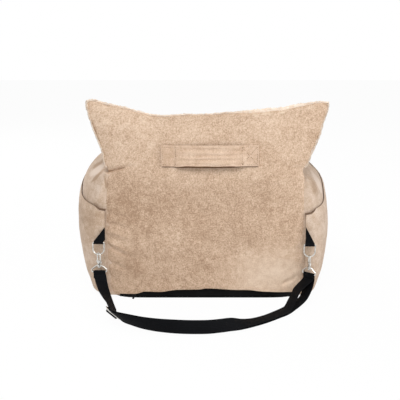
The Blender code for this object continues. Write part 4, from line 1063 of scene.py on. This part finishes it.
def fringe_strand(dice, share):
    """One short strand on the roll, on the side seen from behind or on top."""
    middle, out, radius = roll_spot(share)
    rear = dice.uniform(-0.3, 1.0)
    way = out * (1 - abs(rear) * 0.8) * dice.uniform(-0.4, 1.0) + Vector((0, -rear, 0))
    root = middle + way.normalized() * radius * 0.8
    clump = uneven(root, "fringe")
    way = way.normalized() + out * 0.7 + Vector((dice.uniform(-0.6, 0.6), 0, dice.uniform(-0.6, 0.6)))
    return root, way, dice.uniform(0.0012, 0.0026) * (1 + 0.6 * clump), dice.uniform(0.0007, 0.0012)


def make_fringe():
    """The plush that shows past the suede along the top and both ears."""
    spots = [roll_spot(share) for share in spread(0.0, 1.0, ROLL_RINGS)]
    path = [spot[0] for spot in spots]
    radii = [spot[2] for spot in spots]
    ride(tube("rim_roll", path, radii, FUZZ_LOOK, 10), "seat")
    dice = random.Random(23)
    strands = [fringe_strand(dice, dice.random()) for _ in range(RIM_STRANDS)]
    ride(tufts("rim_fringe", strands, FUZZ_LOOK), "seat")


# The front, the floor and the zip

def make_front():
    half = CAVITY_WIDTH / 2 - FIT
    radius = FRONT_THICKNESS / 2
    centre = SEAM_Y - radius
    straight = FRONT_HEIGHT - radius
    path = [(SEAM_Y, z) for z in spread(ARM_FOOT, straight, 16)[:-1]]
    path += arc((centre, straight), radius, 0, 180, 24)
    path += [(FRONT_INNER_Y, z) for z in spread(straight, CUSHION_FOOT, 16)[1:]]
    rings = []
    for x in spread(-half, half, 50):
        ring = []
        for y, z in path:
            point = Vector((x, y, z))
            out = Vector((0, y - centre, max(0.0, z - straight))).normalized()
            raised = uneven(point, "front_roll") - 0.004 * abs(x / half) ** 8
            ring.append(point + out * raised)
        rings.append(ring)
    item = loft("front_roll", rings, SUEDE)
    ride(item, "seat", ("front_cover", "front_filling"))
    outer = []
    for across in across_shares(70):
        line = []
        for up in spread(0.0, 1.0, 44):
            height = FRONT_PANEL_FOOT + (FRONT_PANEL_HEIGHT - FRONT_PANEL_FOOT) * up
            crown = FRONT_CROWN * (1 - across ** 4) * (1 - (2 * up - 1) ** 4)
            point = Vector((across * half_panel(height), SEAM_Y + FIT + crown + CLOTH, height))
            point.z -= 0.003 * (1 - math.cos(across * 9)) * smoothstep(0.9, 1.0, up) * 0.3
            flat = 1 - abs(across) ** 14
            point.y += uneven(point, "front_cloth") * flat
            point.y -= 0.0035 * (1 - flat)
            line.append(point)
        outer.append(line)
    inner = [[p - Vector((0, CLOTH, 0)) for p in row] for row in outer]
    item = plate("front_cloth", outer, inner, SUEDE)
    ride(item, "seat", ("front_panel",))


# The base cloth's rings: height, margin, and how far it comes out below the hem
BASE_RINGS = ((0.0, 0.002, 0.0175), (0.0002, 0.0006, 0.018), (0.0006, 0.0, 0.0175), (0.0010, 0.0, 0.003),
              (BASE_CLOTH, 0.0005, 0.0))


def floor_outline(margin, height, lip):
    """The tub's foot as a ring of points."""
    right = []
    for angle in fine_angles(48):
        y, bulge = plan(angle)
        seam = half_panel(0.0)
        x = seam + (CAVITY_WIDTH / 2 + ARM_OUTLINE_SHARES[-1][0] * ARM_THICKNESS - seam) * bulge
        right.append(Vector((x - margin, y * (1 - margin / SEAM_Y), height)))
    left = [Vector((-p.x, p.y, p.z)) for p in reversed(right)]
    corner = right[0].x
    rear = [Vector((x, right[0].y - lip * (1 - abs(x / corner) ** 12), height))
            for x in spread(-corner, corner, 42)[1:-1]]
    return right + left + rear


def make_floor():
    rings = [floor_outline(BASE_INSET + margin, height, lip) for height, margin, lip in BASE_RINGS]
    base = loft("base_cloth", rings, BLACK_CLOTH, 50)
    ride(base, "seat", ("base_cover",))
    x = CAVITY_WIDTH / 2 - 3 * FIT
    y0, y1 = BACK_FRONT_Y + 3 * FIT, FRONT_INNER_Y - 3 * FIT
    thick = FLOOR_FOAM + FLOOR_LINING + FIT
    top, under = [], []
    for u in spread(0.0, 1.0, 40):
        line, low = [], []
        for v in spread(0.0, 1.0, 40):
            edge = min(u, 1 - u, v, 1 - v)
            soft = smoothstep(0.0, 0.06, edge)
            point = Vector((lerp(-x, x, u), lerp(y0, y1, v), FOAM_FOOT + thick * (0.7 + 0.3 * soft)))
            point.z -= 0.0006 * abs(lumps(point, 0.05, 81)) * soft
            line.append(point)
            low.append(Vector((point.x, point.y, FOAM_FOOT)))
        top.append(line)
        under.append(low)
    pad = plate("floor_pad", top, under, SUEDE)
    ride(pad, "seat", ("floor_foam", "floor_lining"))


def box_verts(low, high):
    return [Vector((x, y, z)) for z in (low[2], high[2]) for x, y in
            ((low[0], low[1]), (high[0], low[1]), (high[0], high[1]), (low[0], high[1]))]


BOX_FACES = ((3, 2, 1, 0), (4, 5, 6, 7), (0, 1, 5, 4), (1, 2, 6, 5), (2, 3, 7, 6), (3, 0, 4, 7))


TOOTH_PITCH = 0.0014
TOOTH_HALF = 0.0005
TOOTH_SHIFT = 0.0004
TOOTH_SHORT = 0.3


def make_zip():
    """The black tape below the hem, and its teeth."""
    half = ZIP_LENGTH / 2
    back_y = -SEAM_Y - FIT
    outer, inner = [], []
    for x in spread(-half - TAPE_LEFT, half + TAPE_RIGHT, 126):
        wave = 0.0007 * math.sin(x * 62) + 0.0005 * math.sin(x * 141 + 1) - 0.0012
        line = [Vector((x, back_y - ZIP_TAPE + wave * (1 - u), lerp(ZIP_TAPE_FOOT, ZIP_TAPE_HEIGHT, u)))
                for u in spread(0.0, 1.0, 9)]
        inner.append([p + Vector((0, ZIP_TAPE * 0.9, 0)) for p in line])
        outer.append(line)
    tape = plate("zip_cloth", outer, inner, BLACK_CLOTH)
    ride(tape, "seat", ("zip_tape",))
    verts, faces = [], []
    face = back_y - ZIP_TAPE - FIT
    count = int(ZIP_LENGTH / TOOTH_PITCH)
    for k in range(count):
        x = lerp(-half, half, (k + 0.5) / count)
        side = 1 if k % 2 else -1
        middle = CHAIN_HEIGHT + side * TOOTH_SHIFT
        foot = middle - CHAIN_WIDTH / 2 * (1 if side < 0 else TOOTH_SHORT)
        head = middle + CHAIN_WIDTH / 2 * (1 if side > 0 else TOOTH_SHORT)
        low, high = (x - TOOTH_HALF, face - CHAIN, foot), (x + TOOTH_HALF, face, head)
        start = len(verts)
        verts += box_verts(low, high)
        faces += [tuple(start + i for i in f) for f in BOX_FACES]
    teeth = add("zip_teeth", verts, faces, BLACK_THREAD, 30)
    ride(teeth, "seat", ("zip_chain",))


# The cushion

# The cushion's crown: shares of its plan, and of the crown's height
CROWN_SHARES = ((0.02, 1.0), (0.1, 0.995), (0.2, 0.985), (0.3, 0.96), (0.4, 0.92), (0.5, 0.86),
                (0.6, 0.78), (0.7, 0.66), (0.78, 0.54), (0.85, 0.38), (0.90, 0.23), (0.94, 0.08),
                (0.97, -0.12), (0.99, -0.42), (1.0, -0.9), (1.0, -1.5))
# Counted from the crown: the rings that are lumpy, those of plush, and those whose pile points up
LUMPY_RINGS = 18
PLUSH_RINGS = 19
UPPER_RINGS = 13


def cushion_ring(share, height):
    """One level of the cushion: a rounded rectangle whose sides draw in between its corners."""
    x = (CAVITY_WIDTH / 2 - CUSHION_SIDE_GAP) * share
    y0 = BACK_FRONT_Y + CUSHION_BACK_GAP
    y1 = FRONT_INNER_Y - CUSHION_SIDE_GAP
    middle, half = (y0 + y1) / 2, (y1 - y0) / 2 * share
    corner = CUSHION_CORNER * share
    made = []
    for sx, sy, start in ((1, -1, -90), (1, 1, 0), (-1, 1, 90), (-1, -1, 180)):
        for px, py in arc((0, 0), corner, start, start + 90, 20):
            made.append(Vector((sx * (x - corner) + px, sy * (half - corner) + py, height)))
        ahead = {(1, -1): (x, half - corner), (1, 1): (corner - x, half),
                 (-1, 1): (-x, corner - half), (-1, -1): (x - corner, -half)}[(sx, sy)]
        last = made[-1]
        made += [last.lerp(Vector((ahead[0], ahead[1], height)), k / 15) for k in range(1, 15)]
    drawn = []
    for p in made:
        pull = CUSHION_DRAW_IN * share * (1 - min(abs(p.x) / x, abs(p.y) / half) ** 2)
        shrink = 1 - pull / max(x, half)
        drawn.append(Vector((p.x * shrink, p.y * shrink + middle, height)))
    return drawn


def make_cushion():
    top = CUSHION_FOOT + CUSHION_HEIGHT
    low = CUSHION_FOOT + FIT
    levels = [(share, top + CUSHION_CROWN * crown) for share, crown in CROWN_SHARES]
    levels += [(1.0, lerp(top, low, 0.55)), (1.0, lerp(top, low, 0.75)), (0.985, lerp(top, low, 0.9)),
               (0.965, low + 0.001), (0.93, low), (0.5, low), (0.05, low)]
    rings = [cushion_ring(share, height) for share, height in levels]
    for ring in rings[:LUMPY_RINGS]:
        for p in ring:
            p.z += uneven(p, "cushion")
    size = len(rings[0])
    faces = loft_faces(len(rings), size)
    paints = [1 if i // size >= PLUSH_RINGS else 0 for i in range(len(faces) - 2)] + [0, 1]
    item = add("cushion", [p for ring in rings for p in ring], faces, (PLUSH_ROOT, BLACK_CLOTH),
               face_paints=paints)
    ride(item, "seat_cushion", ("cushion_cover", "cushion_base", "cushion_foam"))
    dice = random.Random(37)
    strands = []
    for _ in range(CUSHION_STRANDS):
        place = dice.random() ** 0.5 * (LUMPY_RINGS - 0.5)
        i = int(place)
        j = dice.randrange(size)
        point = rings[i][j].lerp(rings[i + 1][j], place - i)
        point = point.lerp(rings[i][(j + 1) % size], dice.random() * 0.5)
        if i > UPPER_RINGS:
            out = Vector((point.x, point.y, 0)).normalized() + Vector((0, 0, 0.3))
        else:
            out = Vector((point.x * 1.2, point.y * 1.2, 0.35))
        jitter = Vector((dice.uniform(-1, 1), dice.uniform(-1, 1), dice.uniform(-0.4, 1))) * 0.5
        out = out.normalized() + jitter
        root = point - Vector((0, 0, STRAND_ROOT))
        strands.append((root, out, dice.uniform(0.004, 0.0065), dice.uniform(0.0010, 0.0018)))
    pile = tufts("cushion_pile", strands, PLUSH_LOOK)
    ride(pile, "seat_cushion")


# The belt band

# How much further the band's left end stands off the panel
BAND_LEFT_STAND = 0.0022
BAND_SAG = 0.0030
BAND_WRINKLE = 0.0010
WRINKLE_RATE = 640
# The stitched boxes: how far they start from the band's end, and where each of them stops
BOX_INSET = 0.003
LEFT_BOX = 0.0285
RIGHT_BOX = 0.0335


def band_face(x, up, lift=0.0):
    """A point on the band's face: x from its middle, up from its lower to its upper edge."""
    half = BAND_LENGTH / 2
    height = BAND_CENTRE_HEIGHT + BAND_WIDTH * (up - 0.5)
    loose = max(0.0, 1 - (x / (half - BAND_STITCHED)) ** 2) ** 0.5
    across = (x + BAND_OFFSET) / half_panel(height)
    share = (height - back_foot(across)) / (back_top(across) - back_foot(across))
    rear = back_point(across, share).y
    sag = BAND_SAG * loose * (1 - up) ** 3
    drift = 2.2 * lumps(Vector((x * 0.25, 0, height)), 0.012, 101)
    wrinkle = BAND_WRINKLE * loose * math.sin(height * WRINKLE_RATE + drift)
    edge = 0.0008 * smoothstep(0.06, 0.0, min(up, 1 - up))
    lift += BAND_LEFT_STAND * smoothstep(-0.05, -half, x)
    height += 0.0010 * lumps(Vector((x, 0, height)), 0.03, 102) * (1 - up)
    y = rear - FIT * 2 - BAND_STAND * loose - sag - wrinkle + edge - lift
    return Vector((x + BAND_OFFSET, y, height))


def make_band():
    half = BAND_LENGTH / 2
    xs = [half * share for share in across_shares(BAND_COLUMNS)]
    inner = [[band_face(x, u) for x in xs] for u in spread(0.0, 1.0, BAND_ROWS)]
    outer = [[band_face(x, u, BAND_CLOTH) for x in xs] for u in spread(0.0, 1.0, BAND_ROWS)]
    item = plate("band_cloth", outer, inner, BAND_SUEDE)
    ride(item, "seat", ("belt_band",))
    # A dark tube under the band's lower edge is painted shadow for the gap beneath it, thickest where the
    # band stands off most.
    path = [band_face(x, 0.0, BAND_CLOTH * 0.5) - Vector((0, 0, 0.0006))
            for x in spread(0.001 - half, half - 0.002, 60)]
    radii = [0.0011 * smoothstep(6, 14, min(k, 56 - k)) + 0.0006 for k in range(60)]
    ride(tube("band_edge_shadow", path, radii, HEM_SHADE), "seat")
    lift = BAND_CLOTH + 0.0001

    def line(points):
        made = []
        for (x0, u0), (x1, u1) in zip(points, points[1:]):
            made += [band_face(lerp(x0, x1, t), lerp(u0, u1, t), lift) for t in spread(0.0, 1.0, 9)[:-1]]
        return made + [band_face(*points[-1], lift)]

    def box(x0, x1):
        return line(((x0, low), (x1, low), (x1, high), (x0, high), (x0, low)))

    low, high = 0.08, 0.92
    x0, x1 = half - RIGHT_BOX, half - BOX_INSET
    runs = [box(-half + BOX_INSET, -half + LEFT_BOX), box(x0, x1)]
    runs += [line(((x0, low), (x1, high))), line(((x0, high), (x1, low)))]
    ride(stitches("band_stitches", runs, BROWN_THREAD, radius=0.0005, step=0.0038), "seat")


# The tabs and the strap

# The stations of the left run that lie under the sewn end's thread
SEWN_STATIONS = slice(20, 31)
# Thread on webbing: how far from its edge, and how far it stands off
THREAD_INSET = 0.0022
THREAD_STAND = 0.0002


def ring_spot(side):
    """The middle of a ring's bar."""
    x = HOOK_SHIFT + side * HOOK_SPACING / 2
    return Vector((x, RING_Y, RING_BAR_HEIGHT - side * RING_BAR_SLANT / 2))


def swivel_spot(side):
    return ring_spot(side) - Vector((0, 0, SWIVEL_DROP))


def make_tab(name, side):
    """Webbing folded round the ring's bar, both ends in the side seam."""
    spot = ring_spot(side)
    radius = RING_WIRE + FIT + TAB_CLOTH / 2
    seam = side * (PANEL_WIDTH / 2 + 2 * FIT)
    root_y = -SEAM_Y - POCKET_STAND - POCKET_CLOTH - FIT * 2 - TAB_CLOTH
    outer, inner = [], []
    tilt = Matrix.Rotation(RING_TILT, 3, "Y")
    start, finish = 105.0, 430.0
    rows = [("down", u) for u in spread(0.0, 1.0, 12)[:-1]]
    rows += [("round", degrees) for degrees in spread(start, finish, 28)]
    rows += [("up", u) for u in spread(1.0, 0.0, 12)[1:]]
    for kind, value in rows:
        degrees = {"down": start, "up": finish}.get(kind, value)
        way = Vector((0, math.cos(math.radians(degrees)), math.sin(math.radians(degrees))))
        line, under = [], []
        for v in spread(-0.5, 0.5, 11):
            bar = spot + tilt @ Vector((v * TAB_WIDTH, 0, 0))
            shell = [bar + tilt @ (way * (radius + lift)) for lift in (TAB_CLOTH / 2, -TAB_CLOTH / 2)]
            if kind != "round":
                top = Vector((seam, root_y, lerp(TAB_ROOT, TAB_TOP, 0.5 + v * side)))
                ply = -1 if kind == "down" else 1
                top.y += ply * TAB_CLOTH * 0.6
                lifts = (ply * TAB_CLOTH / 2, -ply * TAB_CLOTH / 2)
                shell = [top.lerp(end, value ** 0.9) if value else top for end in shell]
                for point, lift in zip(shell, lifts):
                    point.y += lift * (1 - value) - 0.0014 * math.sin(math.pi * value) * (ply < 0)
            line.append(shell[0])
            under.append(shell[1])
        outer.append(line)
        inner.append(under)
    item = plate("tab_cloth_" + name, outer, inner, WEBBING_LOOK, WEBBING_CREASE)
    layer = item.data.uv_layers.new(name="weave")
    for loop in item.data.loops:
        co = item.data.vertices[loop.vertex_index].co
        layer.data[loop.index].uv = (co.x * 0.7, co.z)
    ride(item, "seat", ("tab_" + name,))
    out = Vector((0, -THREAD_STAND, 0))
    thread = [[row[1] + out for row in outer[1:10]], [row[-2] + out for row in outer[1:10]],
              [p + out for p in outer[8][1:10]]]
    ride(stitches("tab_stitches_" + name, thread, BLACK_THREAD), "seat")


def loop_bar(side, turn):
    centre = swivel_spot(side) - Vector((0, 0, LOOP_DROP))
    return centre, Vector((-math.cos(turn), -math.sin(turn), 0))


def fold_over(centre, across, start_side):
    """The webbing's turn over a loop's bar, as stations."""
    steps = 12
    flat = Vector((0, 0, 1)).cross(across).normalized() * start_side
    made = []
    for k in range(steps + 1):
        turn = math.pi * k / steps
        spot = centre + FOLD_RADIUS * (flat * math.cos(turn) + Vector((0, 0, math.sin(turn))))
        made.append((spot, across))
    return made


def strap_route():
    places, ways = [], []
    for out, back, up, way in STRAP_ROUTE_SHARES:
        places.append(Vector((out * HOOK_SPACING / 2, RING_Y - back * STRAP_REACH, up * RING_BAR_HEIGHT)))
        ways.append(Vector(way).normalized())
    steps = (len(places) - 1) * ROUTE_STEPS
    return [(curve_point(places, k / ROUTE_STEPS), curve_point(ways, k / ROUTE_STEPS).normalized())
            for k in range(steps + 1)]


def part_layers(route, start):
    """The strap's two layers, which part from the start station to the loop."""
    fronts, backs = [], []
    count = len(route)
    for k, (spot, across) in enumerate(route):
        ahead = route[min(k + 1, count - 1)][0] - route[max(k - 1, 0)][0]
        normal = ahead.cross(across).normalized()
        share = max(0.0, (k - start) / (count - 1 - start))
        close = LAYER_STEP + LAYER_GAP * min(1.0, k / 6)
        gap = close + (2 * FOLD_RADIUS - close) * share ** 2
        bow = math.sin(math.pi * share) ** PARTING_POWER
        fronts.append((spot + normal * gap * bow + Vector(PARTING) * bow, across))
        backs.append((spot - normal * gap * (1 - bow), across))
    return fronts, backs


def strap_stitches(stations, lift):
    """Lines of thread round the sewn end of the webbing, on the side given by lift."""
    lines = []
    half = WEBBING_WIDTH / 2 - THREAD_INSET
    picked = stations[SEWN_STATIONS]

    def at(k, w):
        centre, across = picked[k]
        along = picked[min(k + 1, len(picked) - 1)][0] - picked[max(k - 1, 0)][0]
        return centre + across * w + along.cross(across).normalized() * lift

    for w in (-half, half):
        lines.append([at(k, w) for k in range(len(picked))])
    for k in (0, len(picked) - 1):
        lines.append([at(k, w) for w in spread(-half, half, 4)])
    return lines


def make_strap():
    route = strap_route()
    place = ADJUSTER_POINT * ROUTE_STEPS
    along = (route[place + 1][0] - route[place - 1][0]).normalized()
    across = route[place][1]
    across = (across - along * across.dot(along)).normalized()
    origin, out = route[place][0], along.cross(across).normalized()
    under = BAR + ADJUSTER_PLAY + WEBBING / 2
    over = under + LAYER_STEP
    end = BAR_SPACING + BAR + ADJUSTER_TRAVEL + 2 * ADJUSTER_PLAY

    def local(s, n):
        return origin + along * s + out * n

    bar, way = loop_bar(-1, LEFT_LOOP_TURN)
    seat_side = fold_over(bar, way, -1)
    stations = [(seat_side[0][0] - Vector((0, 0, STRAP_OVERLAP * k / 6)), way) for k in (6, 5, 4, 3, 2, 1)]
    stations += seat_side
    clear = end + WEBBING_WIDTH / 5
    before = [s for s in route[:place] if (s[0] - origin).length > clear]
    stations += before + [(local(-end - WEBBING, 0), across), (local(-end, 0), across)]
    single = ribbon("strap_left_run", stations)
    ride(single, "strap", ("strap_single",))

    bar, way = loop_bar(1, RIGHT_LOOP_TURN)
    after = [s for s in route[place:] if (s[0] - origin).length > clear]
    lead = end + WEBBING
    doubled = [(local(end, 0), across), (local(lead, 0), across)] + after
    parting = len(doubled) - (len(STRAP_ROUTE_SHARES) - 1 - PARTING_POINT) * ROUTE_STEPS
    front, back = part_layers(doubled, parting)
    back[:2] = [(local(end, -LAYER_STEP), across), (local(lead, -LAYER_STEP), across)]
    double = ribbon("strap_long_run", front + fold_over(bar, way, 1) + back[::-1])
    ride(double, "strap", ("strap_double",))
    lift = WEBBING / 2 + THREAD_STAND
    lines = strap_stitches(stations, lift) + strap_stitches(stations, -lift)
    ride(stitches("strap_stitches", lines, BLACK_THREAD), "strap")

    reach = math.degrees(math.acos((under + over) / BAR_SPACING))
    path = [(-end + FIT, 0.0), (-end + 4 * FIT, 0.0)]
    path += arc((-BAR_SPACING, under), under, 270, 360 - reach, 6)
    path += arc((0, under), over, 180 - reach, reach, 14)
    path += arc((BAR_SPACING, under), under, 180 + reach, 270, 6)
    path += [(end - 4 * FIT, 0.0), (end - FIT, 0.0)]
    feed = ribbon("strap_through_glide", [(local(s, n), across) for s, n in path])
    ride(feed, "glide", ("strap_feed",))
    path = [(end - FIT, -LAYER_STEP), (BAR_SPACING, -LAYER_STEP)]
    path += arc((0, under), under, 256, -25, 20)
    sewn = ribbon("strap_bar_end", [(local(s, n), across) for s, n in path])
    ride(sewn, "glide", ("strap_sewn_end",))


def paint_frame():
    """The rigid pieces keep their solids and get a finish."""
    looks = {"zip_slider": BLACK_METAL, "zip_pull": BLACK_METAL, "base_board": BOARD_LOOK}
    for name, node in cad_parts.items():
        look = looks.get(name)
        if look is None and name.split("_")[0] in ("d", "hook", "gate", "adjuster") or "loop" in name:
            look = NICKEL
        if look is None:
            continue
        node.data.materials.clear()
        node.data.materials.append(look)
        for face in node.data.polygons:
            face.material_index = 0


# The stage

WHITE = (1, 1, 1, 1)
FLOOR_COLOUR = (0.93, 0.93, 0.93, 1)
FLOOR_REACH = 12.0
# The share of its shading that the floor shows to the camera
FLOOR_SHADE = 0.045
WORLD_LIGHT = 0.42
# Soft lamps: place, what it looks at, size and power
LAMPS = (((-0.3, -2.2, 2.6), (0, -0.2, 0.2), 2.2, 46.0),
         ((1.9, -1.5, 1.3), (0, -0.2, 0.15), 1.6, 20.0),
         ((-1.6, 1.9, 2.2), (0, 0, 0.2), 2.2, 44.0))
CAMERA_LENS = 63.1
CAMERA_SENSOR = 36
CAMERA_PLACE = (-0.0111, -1.64, 0.50)
CAMERA_TILT = math.radians(78.2)


def seen_rays(made):
    """1 for rays from the camera and for those that gloss and glass show, 0 for the rest."""
    path = add_node(made, "LightPath")
    ray = path.outputs["Is Camera Ray"]
    for other in ("Is Glossy Ray", "Is Transmission Ray"):
        ray = math_node(made, "MAXIMUM", ray, path.outputs[other])
    return ray


def mix_shaders(made, share, first, second):
    return add_node(made, "MixShader", {0: share, 1: first, 2: second}).outputs[0]


def make_stage():
    mesh = bpy.data.meshes.new("floor")
    corners = [(x * FLOOR_REACH, y * FLOOR_REACH, 0) for x, y in ((-1, -1), (1, -1), (1, 1), (-1, 1))]
    mesh.from_pydata(corners, [], [(0, 1, 2, 3)])
    floor = bpy.data.objects.new("floor", mesh)
    bpy.context.scene.collection.objects.link(floor)
    made = bpy.data.materials.new("floor_look")
    made.use_nodes = True
    made.node_tree.nodes.clear()
    diffuse = add_node(made, "BsdfDiffuse", {"Color": FLOOR_COLOUR}).outputs[0]
    shine = add_node(made, "Emission", {"Color": WHITE, "Strength": 1.0}).outputs[0]
    seen = mix_shaders(made, FLOOR_SHADE, shine, diffuse)
    add_node(made, "OutputMaterial", {0: mix_shaders(made, seen_rays(made), diffuse, seen)})
    mesh.materials.append(made)


def make_world():
    world = bpy.data.worlds.new("soft_world")
    world.use_nodes = True
    world.node_tree.nodes.clear()
    dim = add_node(world, "Background", {"Color": WHITE, "Strength": WORLD_LIGHT}).outputs[0]
    white = add_node(world, "Background", {"Color": WHITE, "Strength": 1.0}).outputs[0]
    add_node(world, "OutputWorld", {0: mix_shaders(world, seen_rays(world), dim, white)})
    bpy.context.scene.world = world


def make_lamps():
    for k, (place, aim, size, power) in enumerate(LAMPS):
        data = bpy.data.lights.new("soft_lamp_%d" % k, "AREA")
        data.shape = "DISK"
        data.size = size
        data.energy = power
        lamp = bpy.data.objects.new("soft_lamp_%d" % k, data)
        lamp.location = place
        lamp.rotation_euler = (Vector(aim) - Vector(place)).to_track_quat("-Z", "Y").to_euler()
        bpy.context.scene.collection.objects.link(lamp)


def make_camera():
    data = bpy.data.cameras.new("camera")
    data.lens = CAMERA_LENS
    data.sensor_width = CAMERA_SENSOR
    camera = bpy.data.objects.new("camera", data)
    camera.location = CAMERA_PLACE
    camera.rotation_euler = Euler((CAMERA_TILT, 0, 0))
    bpy.context.scene.collection.objects.link(camera)
    bpy.context.scene.camera = camera


make_camera()
make_stage()
make_world()
make_lamps()
paint_frame()
make_rear_panel()
make_pillow()
make_pile()
make_fringe()
for word, hand in (("left", -1), ("right", 1)):
    make_arm(word, hand)
    make_pocket(word, hand)
    make_tab(word, hand)
make_front()
make_floor()
make_zip()
make_cushion()
make_band()
make_strap()
bpy.context.scene.view_settings.view_transform = "Standard"
